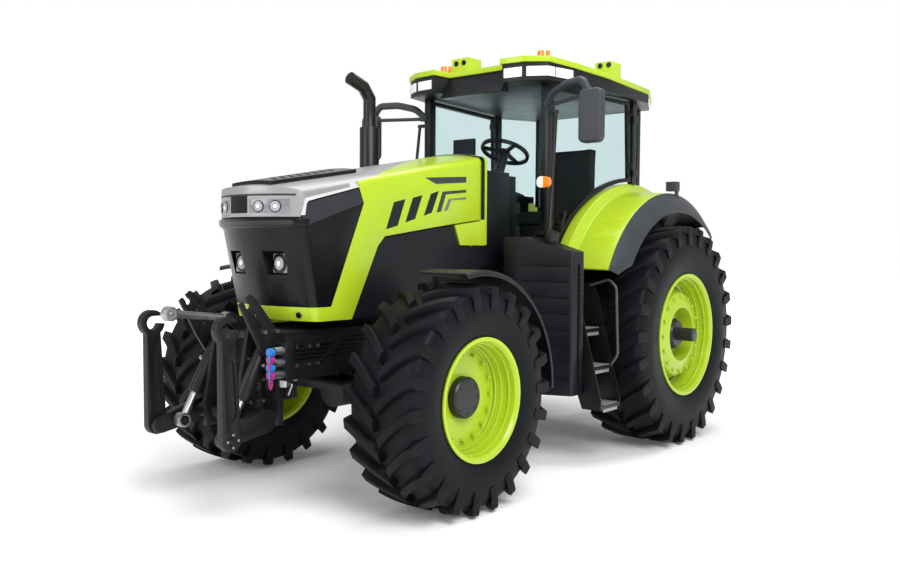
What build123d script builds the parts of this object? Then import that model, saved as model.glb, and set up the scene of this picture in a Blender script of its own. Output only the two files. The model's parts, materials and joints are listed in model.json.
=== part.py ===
from build123d import *
import os
from math import cos, degrees, radians, sin, sqrt

os.makedirs("parts", exist_ok=True)

# Overall layout, in millimetres: +X forward, +Y to the tractor's left, +Z up
wheelbase = 2760
front_reach = 4180
rear_reach = 1500
x_rear = (rear_reach - front_reach) / 2
x_front = x_rear + wheelbase
seat_gap = 0.3

# Wheels
front_tyre_radius = 710
front_tyre_width = 528
front_wheel_y = 967
front_seat_radius = 358
rear_tyre_radius = 920
rear_tyre_width = 580
rear_wheel_y = 993
rear_seat_radius = 485
front_lugs = 22
rear_lugs = 25
front_lug_height = 45
rear_lug_height = 50
rim_lip = 26
bead_share = 0.44
rim_share = bead_share + 0.005
rim_wall = 12

# Driveline
housing_half = 280
engine_half = 255
engine_rear_x = x_rear + 1700
engine_front_x = x_front + 190
engine_bottom = 880
engine_top = 1600
rail_thickness = 30
support_face_x = x_front + 800
support_bottom = 820
support_top = 1120
saddle_bottom = 790

# Bonnet: half width, skin, the three levels of its front and how far each is rounded in plan
bonnet_half = 390
bonnet_skin = 20
bonnet_rear_x = x_rear + 1750
foot_z = 1175
lip_z = 1780
nose_top = 1998
foot_front_x = x_front + 670
lip_front_x = x_front + 868
nose_front_x = x_front + 895
foot_round = 60
lip_round = 140
nose_round = 175
corner_radius = 60
crown = 45
crown_slope = 0.1827
hinge_pin_radius = 6
cowl_front_x = bonnet_rear_x - 2 * hinge_pin_radius - seat_gap
cowl_rear_x = x_rear + 1662
bonnet_rear_top = nose_top + crown_slope * (nose_front_x - bonnet_rear_x)

# Cab
cab_front_x = x_rear + 1195
mid_pillar_x = x_rear + 55
cab_rear_x = x_rear - 450
pillar_front_y = 605
pillar_mid_y = 750
pillar_rear_y = 560
tub_half = 645
floor_z = 1420
glass_bottom = 1710
rear_sill = 2050
roof_underside = 2915
visor_drop = 50
roof_front_top = roof_underside + 185
roof_rear_top = roof_underside + 97
roof_skin = 42
roof_overhang = 14
roof_half = 800
door_arc = 1300
door_thickness = 36

# Rear fenders
fender_crest = 1282
fender_first = 28
fender_last = 128
fender_edge_y = tub_half + 445
flare_edge_y = rear_wheel_y + 197


def save(part, name):
    part.label = name
    export_step(part, f"parts/{name}.step")


def block(x_range, y_range, z_range, mode=Mode.ADD):
    spans = (x_range, y_range, z_range)
    with Locations(tuple((low + high) / 2 for low, high in spans)):
        Box(*(high - low for low, high in spans), mode=mode)


def side_plane(y):
    return Plane(origin=(0, y, 0), x_dir=(1, 0, 0), z_dir=(0, -1, 0))


def side_plate(points, y_low, y_high, mode=Mode.ADD):
    with BuildSketch(side_plane(y_low)) as outline:
        with BuildLine():
            Polyline(*points, close=True)
        make_face()
    extrude(outline.sketch, amount=y_low - y_high, mode=mode)


def plan_plate(points, z_low, z_high, mode=Mode.ADD):
    with BuildSketch(Plane.XY.offset(z_low)) as outline:
        with BuildLine():
            Polyline(*points, close=True)
        make_face()
    extrude(outline.sketch, amount=z_high - z_low, mode=mode)


def mirrored(half_plan):
    return half_plan + [(x, -y) for x, y in reversed(half_plan)]


def link_plate(start, end, start_radius, end_radius, y_low, y_high, mode=Mode.ADD):
    with BuildSketch(side_plane(y_low)) as outline:
        with Locations(start):
            Circle(start_radius)
        with Locations(end):
            Circle(end_radius)
        make_hull()
    extrude(outline.sketch, amount=y_low - y_high, mode=mode)


def rod(start, end, radius, mode=Mode.ADD):
    axis = Vector(*end) - Vector(*start)
    with BuildSketch(Plane(origin=start, z_dir=axis)) as section:
        Circle(radius)
    extrude(section.sketch, amount=axis.length, mode=mode)


def cross_rod(x, z, y_low, y_high, radius, mode=Mode.ADD):
    rod((x, y_low, z), (x, y_high, z), radius, mode)


def ring(points, x, z, first=0, last=360, mode=Mode.ADD):
    along = (cos(radians(first)), 0, sin(radians(first)))
    across = (-along[2], 0, along[0])
    with BuildSketch(Plane(origin=(x, 0, z), x_dir=along, z_dir=across)) as section:
        with BuildLine():
            Polyline(*points, close=True)
        make_face()
    revolve(section.sketch, axis=Axis((x, 0, z), (0, -1, 0)), revolution_arc=last - first, mode=mode)


def lug_run(x, y, radius, depth, start, end, width):
    # One straight run of a lug: a prism under the flat that joins its two ends.
    # Each end is given as its angle and its offset from the tyre's middle.
    middle = radians((start[0] + end[0]) / 2)
    out = (cos(middle), 0, sin(middle))
    along = (-out[2], 0, out[0])
    half = radius * sin(radians(end[0] - start[0]) / 2)
    flat = sqrt(radius**2 - (half + width / 2) ** 2)
    with BuildSketch(
        Plane(origin=(x + flat * out[0], y, radius + flat * out[2]), x_dir=along, z_dir=out)
    ) as outline:
        with BuildLine():
            Polyline((-half - width / 2, -start[1]), (-half + width / 2, -start[1]),
                     (half + width / 2, -end[1]),
                     (half - width / 2, -end[1]), close=True)
        make_face()
    extrude(outline.sketch, amount=-depth)


def build_tyres(place, x, y, radius, width, seat, lugs, lug_height):
    # A tyre: a carcass between the beads, with two staggered rows of lugs that bend towards the shoulder
    tread = radius - lug_height
    waist = (seat + tread) / 2
    pitch = 360 / lugs
    lug_width = 0.33 * radians(pitch) * radius
    sweep_inner = degrees(0.24 * width / radius)
    sweep_outer = degrees(0.11 * width / radius)
    lead = -90 - (sweep_inner + sweep_outer) / 2
    with BuildPart() as lug:
        for half in (1, -1):
            first = lead if half == 1 else lead + pitch / 2
            bend = first + sweep_inner
            last = bend + sweep_outer
            lug_run(x, y, radius, lug_height + 60, (first, half * 0.02 * width), (bend, half * 0.28 * width),
                    lug_width)
            lug_run(x, y, radius, lug_height + 60, (bend, half * 0.27 * width), (last, half * 0.49 * width),
                    lug_width)
    with BuildPart() as tyre:
        ring(
            [
                (seat + seat_gap, y - bead_share * width),
                (seat + 30, y - bead_share * width),
                (waist, y - 0.5 * width),
                (tread - 30, y - 0.46 * width),
                (tread, y - 0.4 * width),
                (tread, y + 0.4 * width),
                (tread - 30, y + 0.46 * width),
                (waist, y + 0.5 * width),
                (seat + 30, y + bead_share * width),
                (seat + seat_gap, y + bead_share * width),
            ],
            x,
            radius,
        )
        axle = Axis((x, 0, radius), (0, 1, 0))
        add([lug.part.rotate(axle, k * pitch) for k in range(lugs)])
    save(tyre.part, f"tyre_{place}_left")
    save(tyre.part.moved(Location((0, -2 * y, 0))), f"tyre_{place}_right")


build_tyres("front", x_front, front_wheel_y, front_tyre_radius, front_tyre_width,
            front_seat_radius, front_lugs, front_lug_height)
build_tyres("rear", x_rear, rear_wheel_y, rear_tyre_radius, rear_tyre_width,
            rear_seat_radius, rear_lugs, rear_lug_height)

# Rims: a stepped barrel; the front one carries a flat disc, the rear one a pierced cone with a ring face
front_disc_y = front_wheel_y + 60
front_hub_radius = 130
front_well = 36
rear_plate_y = rear_wheel_y + 70
rear_cone_y = rear_wheel_y + 10
rear_face_radius = 345
rear_face_out = 185
rear_face_rise = 30
rear_bore_radius = 225
rear_hub_radius = 150
rear_well = 44
disc_half = 8
window_radius = 30
window_count = 10


def rim_profile(side, centre, seat, half, well, web):
    # Half section of a rim, as (radius, y): tyre side first, then the open side with the web between
    tyre_side = [(seat + rim_lip, half + rim_wall), (seat + rim_lip, half), (seat, half - 2),
                 (seat - 6, 0.45 * half), (seat - well, 0.28 * half)]
    tyre_side = tyre_side + [(r, -d) for r, d in reversed(tyre_side)]
    open_side = [(seat + 4, half + rim_wall), (seat - rim_wall, half - 6), (seat - rim_wall - 4, 0.6 * half),
                 (seat - well / 2 - rim_wall, 0.5 * half),
                 (seat - well / 2 - rim_wall - 2, 0.34 * half), (seat - well - rim_wall, 0.3 * half)]
    inner_low = [(r, -d) for r, d in open_side]
    points = tyre_side + inner_low + web + list(reversed(open_side))
    return [(r, side * (centre + d)) for r, d in points]


for side, hand in ((1, "left"), (-1, "right")):
    with BuildPart() as front_rim:
        disc = front_disc_y - front_wheel_y
        root = front_seat_radius - front_well - rim_wall
        web = [(root, disc - disc_half), (front_hub_radius, disc - disc_half),
               (front_hub_radius, disc + disc_half), (root, disc + disc_half)]
        ring(rim_profile(side, front_wheel_y, front_seat_radius, rim_share * front_tyre_width, front_well,
                         web),
             x_front, front_tyre_radius)
    save(front_rim.part, f"rim_front_{hand}")

    with BuildPart() as rear_rim:
        plate = rear_plate_y - rear_wheel_y
        cone = rear_cone_y - rear_wheel_y
        root = rear_seat_radius - rear_well - rim_wall
        web = [(root, cone - disc_half),
               (rear_face_radius - 2 * disc_half, rear_face_out - 2 * disc_half),
               (rear_bore_radius + 2 * disc_half, rear_face_out),
               (rear_bore_radius + 2 * disc_half, plate - disc_half),
               (rear_hub_radius, plate - disc_half), (rear_hub_radius, plate + disc_half),
               (rear_bore_radius, plate + disc_half), (rear_bore_radius, rear_face_out + rear_face_rise),
               (rear_face_radius, rear_face_out), (root, cone + disc_half + 6)]
        ring(rim_profile(side, rear_wheel_y, rear_seat_radius, rim_share * rear_tyre_width, rear_well, web),
             x_rear, rear_tyre_radius)
        window_ring = (root + rear_face_radius) / 2
        for k in range(window_count):
            turn = radians(360 / window_count * k)
            low, high = sorted((side * (rear_cone_y - 60), side * (rear_wheel_y + rear_face_out)))
            cross_rod(x_rear + window_ring * cos(turn), rear_tyre_radius + window_ring * sin(turn), low, high,
                      window_radius, Mode.SUBTRACT)
    save(rear_rim.part, f"rim_rear_{hand}")

# Front hubs: the flange the rim is bolted to and the round reduction-gear cover
front_flange_y = front_disc_y - disc_half - 20
front_hub_end = front_disc_y + 65
for side, hand in ((1, "left"), (-1, "right")):
    with BuildPart() as front_hub:
        profile = [(0, front_flange_y), (190, front_flange_y), (190, front_disc_y - disc_half),
                   (front_hub_radius - seat_gap, front_disc_y - disc_half),
                   (front_hub_radius - seat_gap, front_hub_end - 14),
                   (front_hub_radius - 14, front_hub_end), (0, front_hub_end)]
        ring([(r, side * y) for r, y in profile], x_front, front_tyre_radius)
    save(front_hub.part, f"hub_front_{hand}")

# Rear bar axles, and the cast hubs clamped on them
bar_radius = 55
bar_start = 690
bar_end = rear_wheel_y + 330
for side, hand in ((1, "left"), (-1, "right")):
    with BuildPart() as rear_hub:
        inner = rear_plate_y - disc_half
        profile = [(0, bar_start), (bar_radius, bar_start), (bar_radius, inner - 150), (115, inner - 150),
                   (140, inner - 30), (235, inner - 30), (235, inner), (rear_hub_radius - seat_gap, inner),
                   (rear_hub_radius - seat_gap, inner + 50), (105, inner + 120), (bar_radius, inner + 120),
                   (bar_radius, bar_end), (0, bar_end)]
        ring([(r, side * y) for r, y in profile], x_rear, rear_tyre_radius)
    save(rear_hub.part, f"hub_rear_{hand}")

# Engine: one plain block
with BuildPart() as engine_block:
    block((engine_rear_x, engine_front_x), (-engine_half, engine_half), (engine_bottom, engine_top))
save(engine_block.part, "engine_block")

# Front support: the casting under the engine's front end, its side rails and the axle saddle
frame_half = engine_half + rail_thickness
with BuildPart() as front_support:
    block((engine_front_x, support_face_x), (-frame_half, frame_half), (support_bottom, support_top))
    for side in (1, -1):
        rail = sorted((side * engine_half, side * frame_half))
        block((x_front - 560, engine_front_x), rail, (engine_bottom, support_top))
        # A raised panel on each side of the casting takes the frame bolts
        panel = sorted((side * frame_half, side * (frame_half + 10)))
        block((engine_front_x + 330, support_face_x - 20), panel, (support_bottom + 30, support_top - 30))
    block((x_front - 100, x_front + 200), (-150, 150), (saddle_bottom, engine_bottom))
save(front_support.part, "front_support")

# Front axle: beam, differential housing, end yokes and the steering cylinder's barrel
kingpin_y = front_wheel_y - 270
yoke_top = 860
yoke_bottom = 560
beam_half = kingpin_y - 125
steer_x = x_front + 175
steer_z = 715
with BuildPart() as front_axle:
    block((x_front - 80, x_front + 80), (-beam_half, beam_half), (640, saddle_bottom))
    with BuildSketch(Plane(origin=(x_front - 230, 0, 665), z_dir=(1, 0, 0))):
        Circle(124)
    extrude(amount=350)
    for side in (1, -1):
        block((x_front - 55, x_front + 55), sorted((side * (beam_half - 10), side * (beam_half + 35))),
              (yoke_bottom - 40, yoke_top + 40))
        for low in (yoke_bottom - 40, yoke_top):
            block((x_front - 55, x_front + 55), sorted((side * (beam_half + 35), side * (kingpin_y + 60))),
                  (low, low + 40))
    cross_rod(steer_x, steer_z, -240, 240, 50)
    block((x_front + 70, steer_x), (-160, 160), (steer_z - 35, steer_z + 35))
    cross_rod(steer_x, steer_z, -260, 260, 25.05, Mode.SUBTRACT)
save(front_axle.part, "front_axle")

# Steering rod: slides across through the barrel, an eye over each knuckle's arm
steer_arm = 175
arm_top = 680
with BuildPart() as steering_rod:
    cross_rod(steer_x, steer_z, -kingpin_y, kingpin_y, 25)
    for side in (1, -1):
        with BuildSketch(Plane.XY.offset(arm_top + seat_gap)):
            with Locations((steer_x, side * kingpin_y)):
                Circle(38)
        extrude(amount=60)
save(steering_rod.part, "steering_rod")

# Knuckles: kingpin barrel, hub spindle, steering arm ahead and mudguard arm behind
guard_arm_y = kingpin_y - 30
for side, hand in ((1, "left"), (-1, "right")):
    with BuildPart() as knuckle:
        with BuildSketch(Plane.XY.offset(yoke_bottom + seat_gap)):
            with Locations((x_front, side * kingpin_y)):
                Circle(78)
        extrude(amount=yoke_top - yoke_bottom - 2 * seat_gap)
        cross_rod(x_front, front_tyre_radius, side * kingpin_y, side * (front_flange_y - seat_gap), 118)
        block((x_front, x_front + steer_arm + 35), sorted((side * (kingpin_y - 35), side * (kingpin_y + 35))),
              (arm_top - 45, arm_top))
        block((x_front - 240, x_front), sorted((side * guard_arm_y, side * (guard_arm_y + 60))), (655, 765))
    save(knuckle.part, f"knuckle_{hand}")

# Front mudguards: a curved shell over each front wheel and the strap to the knuckle
guard_radius = front_tyre_radius + 68
guard_inner = front_wheel_y - 140
guard_outer = front_wheel_y + 245
guard_strap_x = x_front - 210
guard_seat_z = front_tyre_radius + sqrt(guard_radius**2 - (guard_strap_x - x_front) ** 2) - 4
for side, hand in ((1, "left"), (-1, "right")):
    with BuildPart() as mudguard:
        profile = [(guard_radius, guard_inner), (guard_radius + 12, guard_inner),
                   (guard_radius + 12, guard_outer - 15),
                   (guard_radius - 5, guard_outer), (guard_radius - 25, guard_outer),
                   (guard_radius, guard_outer - 25)]
        ring([(r, side * y) for r, y in profile], x_front, front_tyre_radius, 78, 181)
        strap_y = sorted((side * (guard_arm_y - 25), side * guard_arm_y))
        block((guard_strap_x - 30, guard_strap_x + 30), strap_y, (655, guard_seat_z - 10))
        block((guard_strap_x - 30, guard_strap_x + 30),
              sorted((side * (guard_arm_y - 25), side * (guard_inner + 90))),
              (guard_seat_z - 40, guard_seat_z - 10))
        block((guard_strap_x - 25, guard_strap_x + 25),
              sorted((side * (guard_inner + 40), side * (guard_inner + 90))),
              (guard_seat_z - 20, guard_seat_z + 8))
    save(mudguard.part, f"mudguard_{hand}")

# Gearbox housing with the brackets that carry the tank and the battery box
box_half = 480
box_rear_x = cab_front_x + 50
with BuildPart() as transmission:
    block((x_rear + 300, engine_rear_x), (-housing_half, housing_half), (620, 1180))
    for side in (1, -1):
        for x in (box_rear_x + 85, box_rear_x + 275):
            block((x - 50, x + 50), sorted((side * housing_half, side * box_half)), (660, 760))
save(transmission.part, "transmission")

# Rear axle: centre housing, trumpets, pins of the linkage, drawbar bracket and shaft end
lower_pivot = (x_rear - 200, 560)
lift_shaft = (x_rear - 210, 1160)
with BuildPart() as rear_axle:
    block((x_rear - 300, x_rear + 300), (-housing_half, housing_half), (620, 1260))
    for side in (1, -1):
        trumpet = [(0, housing_half - 10), (190, housing_half - 10), (130, bar_start - 140),
                   (120, bar_start - seat_gap), (0, bar_start - seat_gap)]
        ring([(r, side * y) for r, y in trumpet], x_rear, rear_tyre_radius)
        block((x_rear - 270, x_rear - 130), sorted((side * 150, side * housing_half)), (490, 620))
        cross_rod(lower_pivot[0], lower_pivot[1], side * 270, side * 452, 20)
        cross_rod(lift_shaft[0], lift_shaft[1], side * 270, side * 370, 45)
    block((x_rear - 360, x_rear - 300), (-120, 120), (980, 1200))
    for side in (1, -1):
        block((x_rear - 450, x_rear - 360), sorted((side * 32, side * 52)), (1050, 1180))
    cross_rod(x_rear - 410, 1120, -60, 60, 14)
    rod((x_rear - 299, 0, 760), (x_rear - 430, 0, 760), 22)
    block((x_rear - 270, x_rear - 130), (-150, 150), (470, 620))
    block((x_rear - 900, x_rear + 200), (-45, 45), (420, 470))
    rod((x_rear - 850, 0, 410), (x_rear - 850, 0, 480), 16.5, Mode.SUBTRACT)
save(rear_axle.part, "rear_axle")

# Rear linkage: lower links with ball eyes, lift arms, lift rods and the stowed top link
lower_y = 430
lower_eye = (x_rear - rear_reach + 60, 720)
lift_pin = (x_rear - 620, 1230)
drop = (lower_eye[1] - lower_pivot[1]) / (lower_eye[0] - lower_pivot[0])
rod_pin = (x_rear - 820, lower_pivot[1] + drop * (x_rear - 820 - lower_pivot[0]))
with BuildPart() as rear_lower_links:
    for side in (1, -1):
        y_low, y_high = sorted((side * (lower_y - 18), side * (lower_y + 18)))
        link_plate(lower_pivot, lower_eye, 50, 60, y_low, y_high)
        cross_rod(lower_pivot[0], lower_pivot[1], y_low - 1, y_high + 1, 20.05, Mode.SUBTRACT)
        cross_rod(lower_eye[0], lower_eye[1], y_low - 1, y_high + 1, 18.7, Mode.SUBTRACT)
        cross_rod(rod_pin[0], rod_pin[1], side * (lower_y - 60), side * (lower_y - 17), 14)
save(rear_lower_links.part, "rear_lower_links")

with BuildPart() as rear_lift_arms:
    for side in (1, -1):
        y_low, y_high = sorted((side * 325, side * 360))
        link_plate(lift_shaft, lift_pin, 75, 38, y_low, y_high)
        cross_rod(lift_shaft[0], lift_shaft[1], y_low - 1, y_high + 1, 45.05, Mode.SUBTRACT)
        cross_rod(lift_pin[0], lift_pin[1], side * 359, side * 402, 14)
save(rear_lift_arms.part, "rear_lift_arms")

with BuildPart() as rear_lift_rods:
    for side in (1, -1):
        y_low, y_high = sorted((side * 374, side * 402))
        link_plate(rod_pin, lift_pin, 34, 42, y_low, y_high)
        cross_rod(rod_pin[0], rod_pin[1], y_low - 1, y_high + 1, 14.05, Mode.SUBTRACT)
        cross_rod(lift_pin[0], lift_pin[1], y_low - 1, y_high + 1, 24, Mode.SUBTRACT)
save(rear_lift_rods.part, "rear_lift_rods")

# Front linkage frame: back plate, pierced side castings, notched hook plates and the top link's clevis
rocker_axis = (support_face_x + 160, 610)
barrel_pin = (support_face_x + 85, 1040)
top_pin = (support_face_x + 180, 1200)
hook_x = 258
hook_z = 1288
hook_radius = 19
with BuildPart() as front_linkage_frame:
    block((support_face_x, support_face_x + 40), (-frame_half - 20, frame_half + 20), (560, support_top))
    for side in (1, -1):
        low, high = sorted((side * 140, side * 170))
        side_plate([(support_face_x + 30, 530), (support_face_x + 230, 530), (support_face_x + 240, 680),
                    (support_face_x + 150, 1150), (support_face_x + 30, 1150)], low, high)
        for x, z, radius in ((95, 900, 34), (105, 790, 42), (90, 680, 28)):
            cross_rod(support_face_x + x, z, low - 1, high + 1, radius, Mode.SUBTRACT)
        cross_rod(rocker_axis[0], rocker_axis[1], low - 1, high + 1, 45.05, Mode.SUBTRACT)
        cross_rod(barrel_pin[0], barrel_pin[1], side * 165, side * 268, 20)
        low, high = sorted((side * frame_half, side * (frame_half + 20)))
        side_plate([(support_face_x + 30, 900), (support_face_x + 120, 960), (support_face_x + 195, 1069),
                    (support_face_x + 320, 1297), (support_face_x + 242, 1357), (support_face_x + 201, 1331),
                    (support_face_x + 71, 1166), (support_face_x + 30, 1140)], low, high)
        cross_rod(support_face_x + hook_x, hook_z, low - 1, high + 1, hook_radius, Mode.SUBTRACT)
        side_plate([(support_face_x + hook_x - 11, hook_z + 8), (support_face_x + hook_x + 11, hook_z - 8),
                    (support_face_x + hook_x + 66, hook_z + 63), (support_face_x + hook_x + 44, hook_z + 79)],
                   low - 1, high + 1, Mode.SUBTRACT)
        for x, z in ((200, 1230), (150, 1150)):
            cross_rod(support_face_x + x, z, low - 1, high + 1, 10, Mode.SUBTRACT)
        low, high = sorted((side * 26, side * 44))
        link_plate((support_face_x + 90, 1140), top_pin, 40, 36, low, high)
    block((support_face_x + 30, support_face_x + 140), (-150, 150), (1080, 1125))
    cross_rod(top_pin[0], top_pin[1], -50, 50, 16)
    # Valve block with three couplers on the left
    block((support_face_x + 10, support_face_x + 60), (frame_half + 10, frame_half + 125), (840, 1060))
    for z in (880, 950, 1020):
        rod((support_face_x + 55, frame_half + 87, z), (support_face_x + 140, frame_half + 87, z), 22)
save(front_linkage_frame.part, "front_linkage_frame")

# Top links: the front one lies forward in its clevis, the rear one is stowed upright
eye_radius = 42.5
front_tip = (x_rear + front_reach - eye_radius, 1245)
rear_pin = (x_rear - 410, 1120)
rear_tip = (x_rear - 640, 1500)
with BuildPart() as top_links:
    for pin, tip, pin_radius in ((top_pin, front_tip, 16), (rear_pin, rear_tip, 14)):
        link_plate(pin, pin, 36, 36.5, -25, 25)
        rod((pin[0], 0, pin[1]), (tip[0], 0, tip[1]), 22)
        link_plate(tip, tip, 42, eye_radius, -25, 25)
        cross_rod(pin[0], pin[1], -30, 30, pin_radius + 0.05, Mode.SUBTRACT)
        cross_rod(tip[0], tip[1], -30, 30, 16, Mode.SUBTRACT)
save(top_links.part, "top_links")

# Front lift rocker: cross shaft, two arms and their pins
fold_pin = (support_face_x + 440, 545)
rod_eye = (support_face_x + 340, 572)
with BuildPart() as front_rocker:
    cross_rod(rocker_axis[0], rocker_axis[1], -345, 345, 45)
    for side in (1, -1):
        low, high = sorted((side * 300, side * 345))
        link_plate(rocker_axis, fold_pin, 70, 50, low, high)
        cross_rod(fold_pin[0], fold_pin[1], side * 340, side * 402, 22)
        cross_rod(rod_eye[0], rod_eye[1], side * 196, side * 305, 20)
save(front_rocker.part, "front_rocker")

# Front lower links, folded up, of I section, with an open claw at the end
web_recess = 12
claw = (support_face_x + 465, 1165)
for side, hand in ((1, "left"), (-1, "right")):
    with BuildPart() as front_link:
        low, high = sorted((side * (345 + seat_gap), side * 397))
        link_plate(fold_pin, (claw[0] - 5, claw[1] - 75), 62, 46, low, high)
        link_plate(claw, claw, 78, 78.5, low, high)
        cross_rod(claw[0], claw[1], low - 1, high + 1, 42, Mode.SUBTRACT)
        block((claw[0] - 100, claw[0]), (low - 1, high + 1), (claw[1] - 6, claw[1] + 42), Mode.SUBTRACT)
        for face in ((low - 1, low + web_recess), (high - web_recess, high + 1)):
            link_plate((fold_pin[0] + 4, fold_pin[1] + 150), (claw[0] - 8, claw[1] - 190), 36, 28, *face,
                       Mode.SUBTRACT)
        cross_rod(fold_pin[0], fold_pin[1], low - 1, high + 1, 22.05, Mode.SUBTRACT)
    save(front_link.part, f"front_link_{hand}")

# Front lift cylinders: barrels hung on the frame, rods held by the rocker
lift_line = Vector(rod_eye[0] - barrel_pin[0], 0, rod_eye[1] - barrel_pin[1])
lift_length = lift_line.length
lift_dir = lift_line.normalized()
barrel_end = 350


def lift_point(side, distance):
    here = Vector(barrel_pin[0], side * 232, barrel_pin[1]) + lift_dir * distance
    return (here.X, here.Y, here.Z)


with BuildPart() as front_lift_barrels:
    for side in (1, -1):
        low, high = sorted((side * 204, side * 260))
        link_plate(barrel_pin, barrel_pin, 38, 38.5, low, high)
        rod(lift_point(side, 20), lift_point(side, barrel_end), 43)
        rod(lift_point(side, 75), lift_point(side, barrel_end + 1), 24.05, Mode.SUBTRACT)
        cross_rod(barrel_pin[0], barrel_pin[1], low - 1, high + 1, 20.05, Mode.SUBTRACT)
save(front_lift_barrels.part, "front_lift_barrels")

with BuildPart() as front_lift_rods:
    for side in (1, -1):
        low, high = sorted((side * 204, side * 260))
        rod(lift_point(side, 150), lift_point(side, lift_length - 20), 24)
        link_plate(rod_eye, rod_eye, 44, 44.5, low, high)
        cross_rod(rod_eye[0], rod_eye[1], low - 1, high + 1, 28, Mode.SUBTRACT)
save(front_lift_rods.part, "front_lift_rods")

# Bonnet envelope: plan sections lofted upwards and trimmed by the crowned top that falls to the nose
full = bonnet_half + 60


def bonnet_section(z, front_x, rounding, inset, rear_x):
    half = bonnet_half - inset
    side_x = front_x - rounding - inset
    with BuildSketch(Plane.XY.offset(z)) as plan:
        with BuildLine():
            ThreePointArc((side_x, -half), (front_x - inset, 0), (side_x, half))
            Polyline((side_x, half), (rear_x, half), (rear_x, -half), (side_x, -half))
        make_face()
        fillet(plan.vertices().group_by(Axis.X)[-1], corner_radius - inset)
    return plan.sketch


def crown_prism(inset, mode):
    start_x = nose_front_x + 200
    tilt = (-1, 0, crown_slope)
    edge_drop = crown * (full / bonnet_half) ** 2
    origin = (start_x, 0, nose_top - 200 * crown_slope - inset)
    with BuildSketch(Plane(origin=origin, x_dir=(0, 1, 0), z_dir=tilt)) as section:
        with BuildLine():
            ThreePointArc((-full, edge_drop), (0, 0), (full, edge_drop))
            Polyline((full, edge_drop), (full, 2000), (-full, 2000), (-full, edge_drop))
        make_face()
    extrude(section.sketch, amount=2600, mode=mode)


def bonnet_form(inset, rear_x, foot):
    with BuildPart() as form:
        lean = (lip_front_x - foot_front_x) / (lip_z - foot_z)
        low = bonnet_section(foot, foot_front_x + lean * (foot - foot_z), foot_round, inset, rear_x)
        lip = bonnet_section(lip_z, lip_front_x, lip_round, inset, rear_x)
        loft([low, lip], ruled=True)
        brow = bonnet_section(lip_z + 25, nose_front_x, nose_round, inset, rear_x)
        loft([lip, brow], ruled=True)
        extrude(brow, amount=700)
        crown_prism(inset, Mode.INTERSECT)
    return form.part


lower_edge = [(bonnet_rear_x, 1845), (x_rear + 2207, 1787), (x_front + 11, 1707), (x_front + 78, 1641),
              (x_front + 313, foot_z)]
outer_form = bonnet_form(0, bonnet_rear_x, foot_z)
inner_form = bonnet_form(bonnet_skin, bonnet_rear_x - 60, foot_z - 40)
with BuildPart() as bonnet_shell:
    add(outer_form)
    add(inner_form, mode=Mode.SUBTRACT)
    side_plate([(bonnet_rear_x - 10, 1846), *lower_edge, (x_front + 313, foot_z - 10),
                (bonnet_rear_x - 10, foot_z - 10)], -full, full, Mode.SUBTRACT)

# Where the panels part: the black grille with its dark brow, the grey nose with the top, the green sides
grille_region = [(x_front + 1140, 1262), (x_front + 490, 1262), (x_front + 207, 1915), (x_front + 252, 2020),
                 (x_front + 313, 2005), (x_front + 695, 1905), (x_front + 730, 1812), (x_front + 1140, 1812)]
nose_region = [*reversed(grille_region[3:]), (x_front + 270, 2063), (x_front + 270, 2700),
               (x_front + 1140, 2700)]
top_region = mirrored([(x_front + 271, full), (x_front + 269, bonnet_half - 6),
                       (x_front + 61, bonnet_half - 25),
                       (x_rear + 2050, 4)])
vent_pitch = 188
vent_lean = 76


def vent_outline(k):
    # Three slots that get smaller and climb towards the cab
    x = x_front + 2 - vent_pitch * k
    z = 1752 + 50 * k
    width = 116 - 13 * k
    height = 184 - 13 * k
    return [(x, z), (x - vent_lean, z + height), (x - vent_lean - width, z + height + 25),
            (x - width, z + 27)]


lamp_box = ((x_front + 640, x_front + 940), (95, 335), (1832, 1918))
pocket_y = (105, 262)
pocket_z = (1460, 1605)
pocket_front_x = x_front + 710
pocket_wall = 6


def both_sides(box, mode):
    for side in (1, -1):
        block(box[0], sorted((side * box[1][0], side * box[1][1])), box[2], mode)


with BuildPart() as bonnet:
    add(bonnet_shell.part)
    side_plate(grille_region, -full, full, Mode.SUBTRACT)
    side_plate(nose_region, -full, full, Mode.SUBTRACT)
    plan_plate(top_region, 2030, 2700, Mode.SUBTRACT)
    for k in range(3):
        side_plate(vent_outline(k), -full, full, Mode.SUBTRACT)
save(bonnet.part, "bonnet")

with BuildPart() as nose_mask:
    side_plate(nose_region, -full, full)
    plan_plate(top_region, 2030, 2700)
with BuildPart() as bonnet_nose:
    add(bonnet_shell.part)
    add(nose_mask.part, mode=Mode.INTERSECT)
    both_sides(lamp_box, Mode.SUBTRACT)
save(bonnet_nose.part, "bonnet_nose")

# The lip under the lamps stands proud of the grille
with BuildPart() as grille_lip:
    add(bonnet_form(-14, bonnet_rear_x, foot_z))
    block((x_front + 680, x_front + 1140), (-full, full), (lip_z - 22, lip_z + 20), Mode.INTERSECT)
    add(inner_form, mode=Mode.SUBTRACT)

# Black grille with its lip and a pocket behind the face for each work lamp
with BuildPart() as front_grille:
    add(bonnet_shell.part)
    side_plate(grille_region, -full, full, Mode.INTERSECT)
    both_sides(((pocket_front_x - pocket_wall, x_front + 780),
                (pocket_y[0] - pocket_wall, pocket_y[1] + pocket_wall),
                (pocket_z[0] - pocket_wall, pocket_z[1] + pocket_wall)), Mode.ADD)
    add(outer_form, mode=Mode.INTERSECT)
    add(grille_lip.part)
    both_sides(((pocket_front_x, x_front + 940), pocket_y, pocket_z), Mode.SUBTRACT)
save(front_grille.part, "front_grille")

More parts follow.
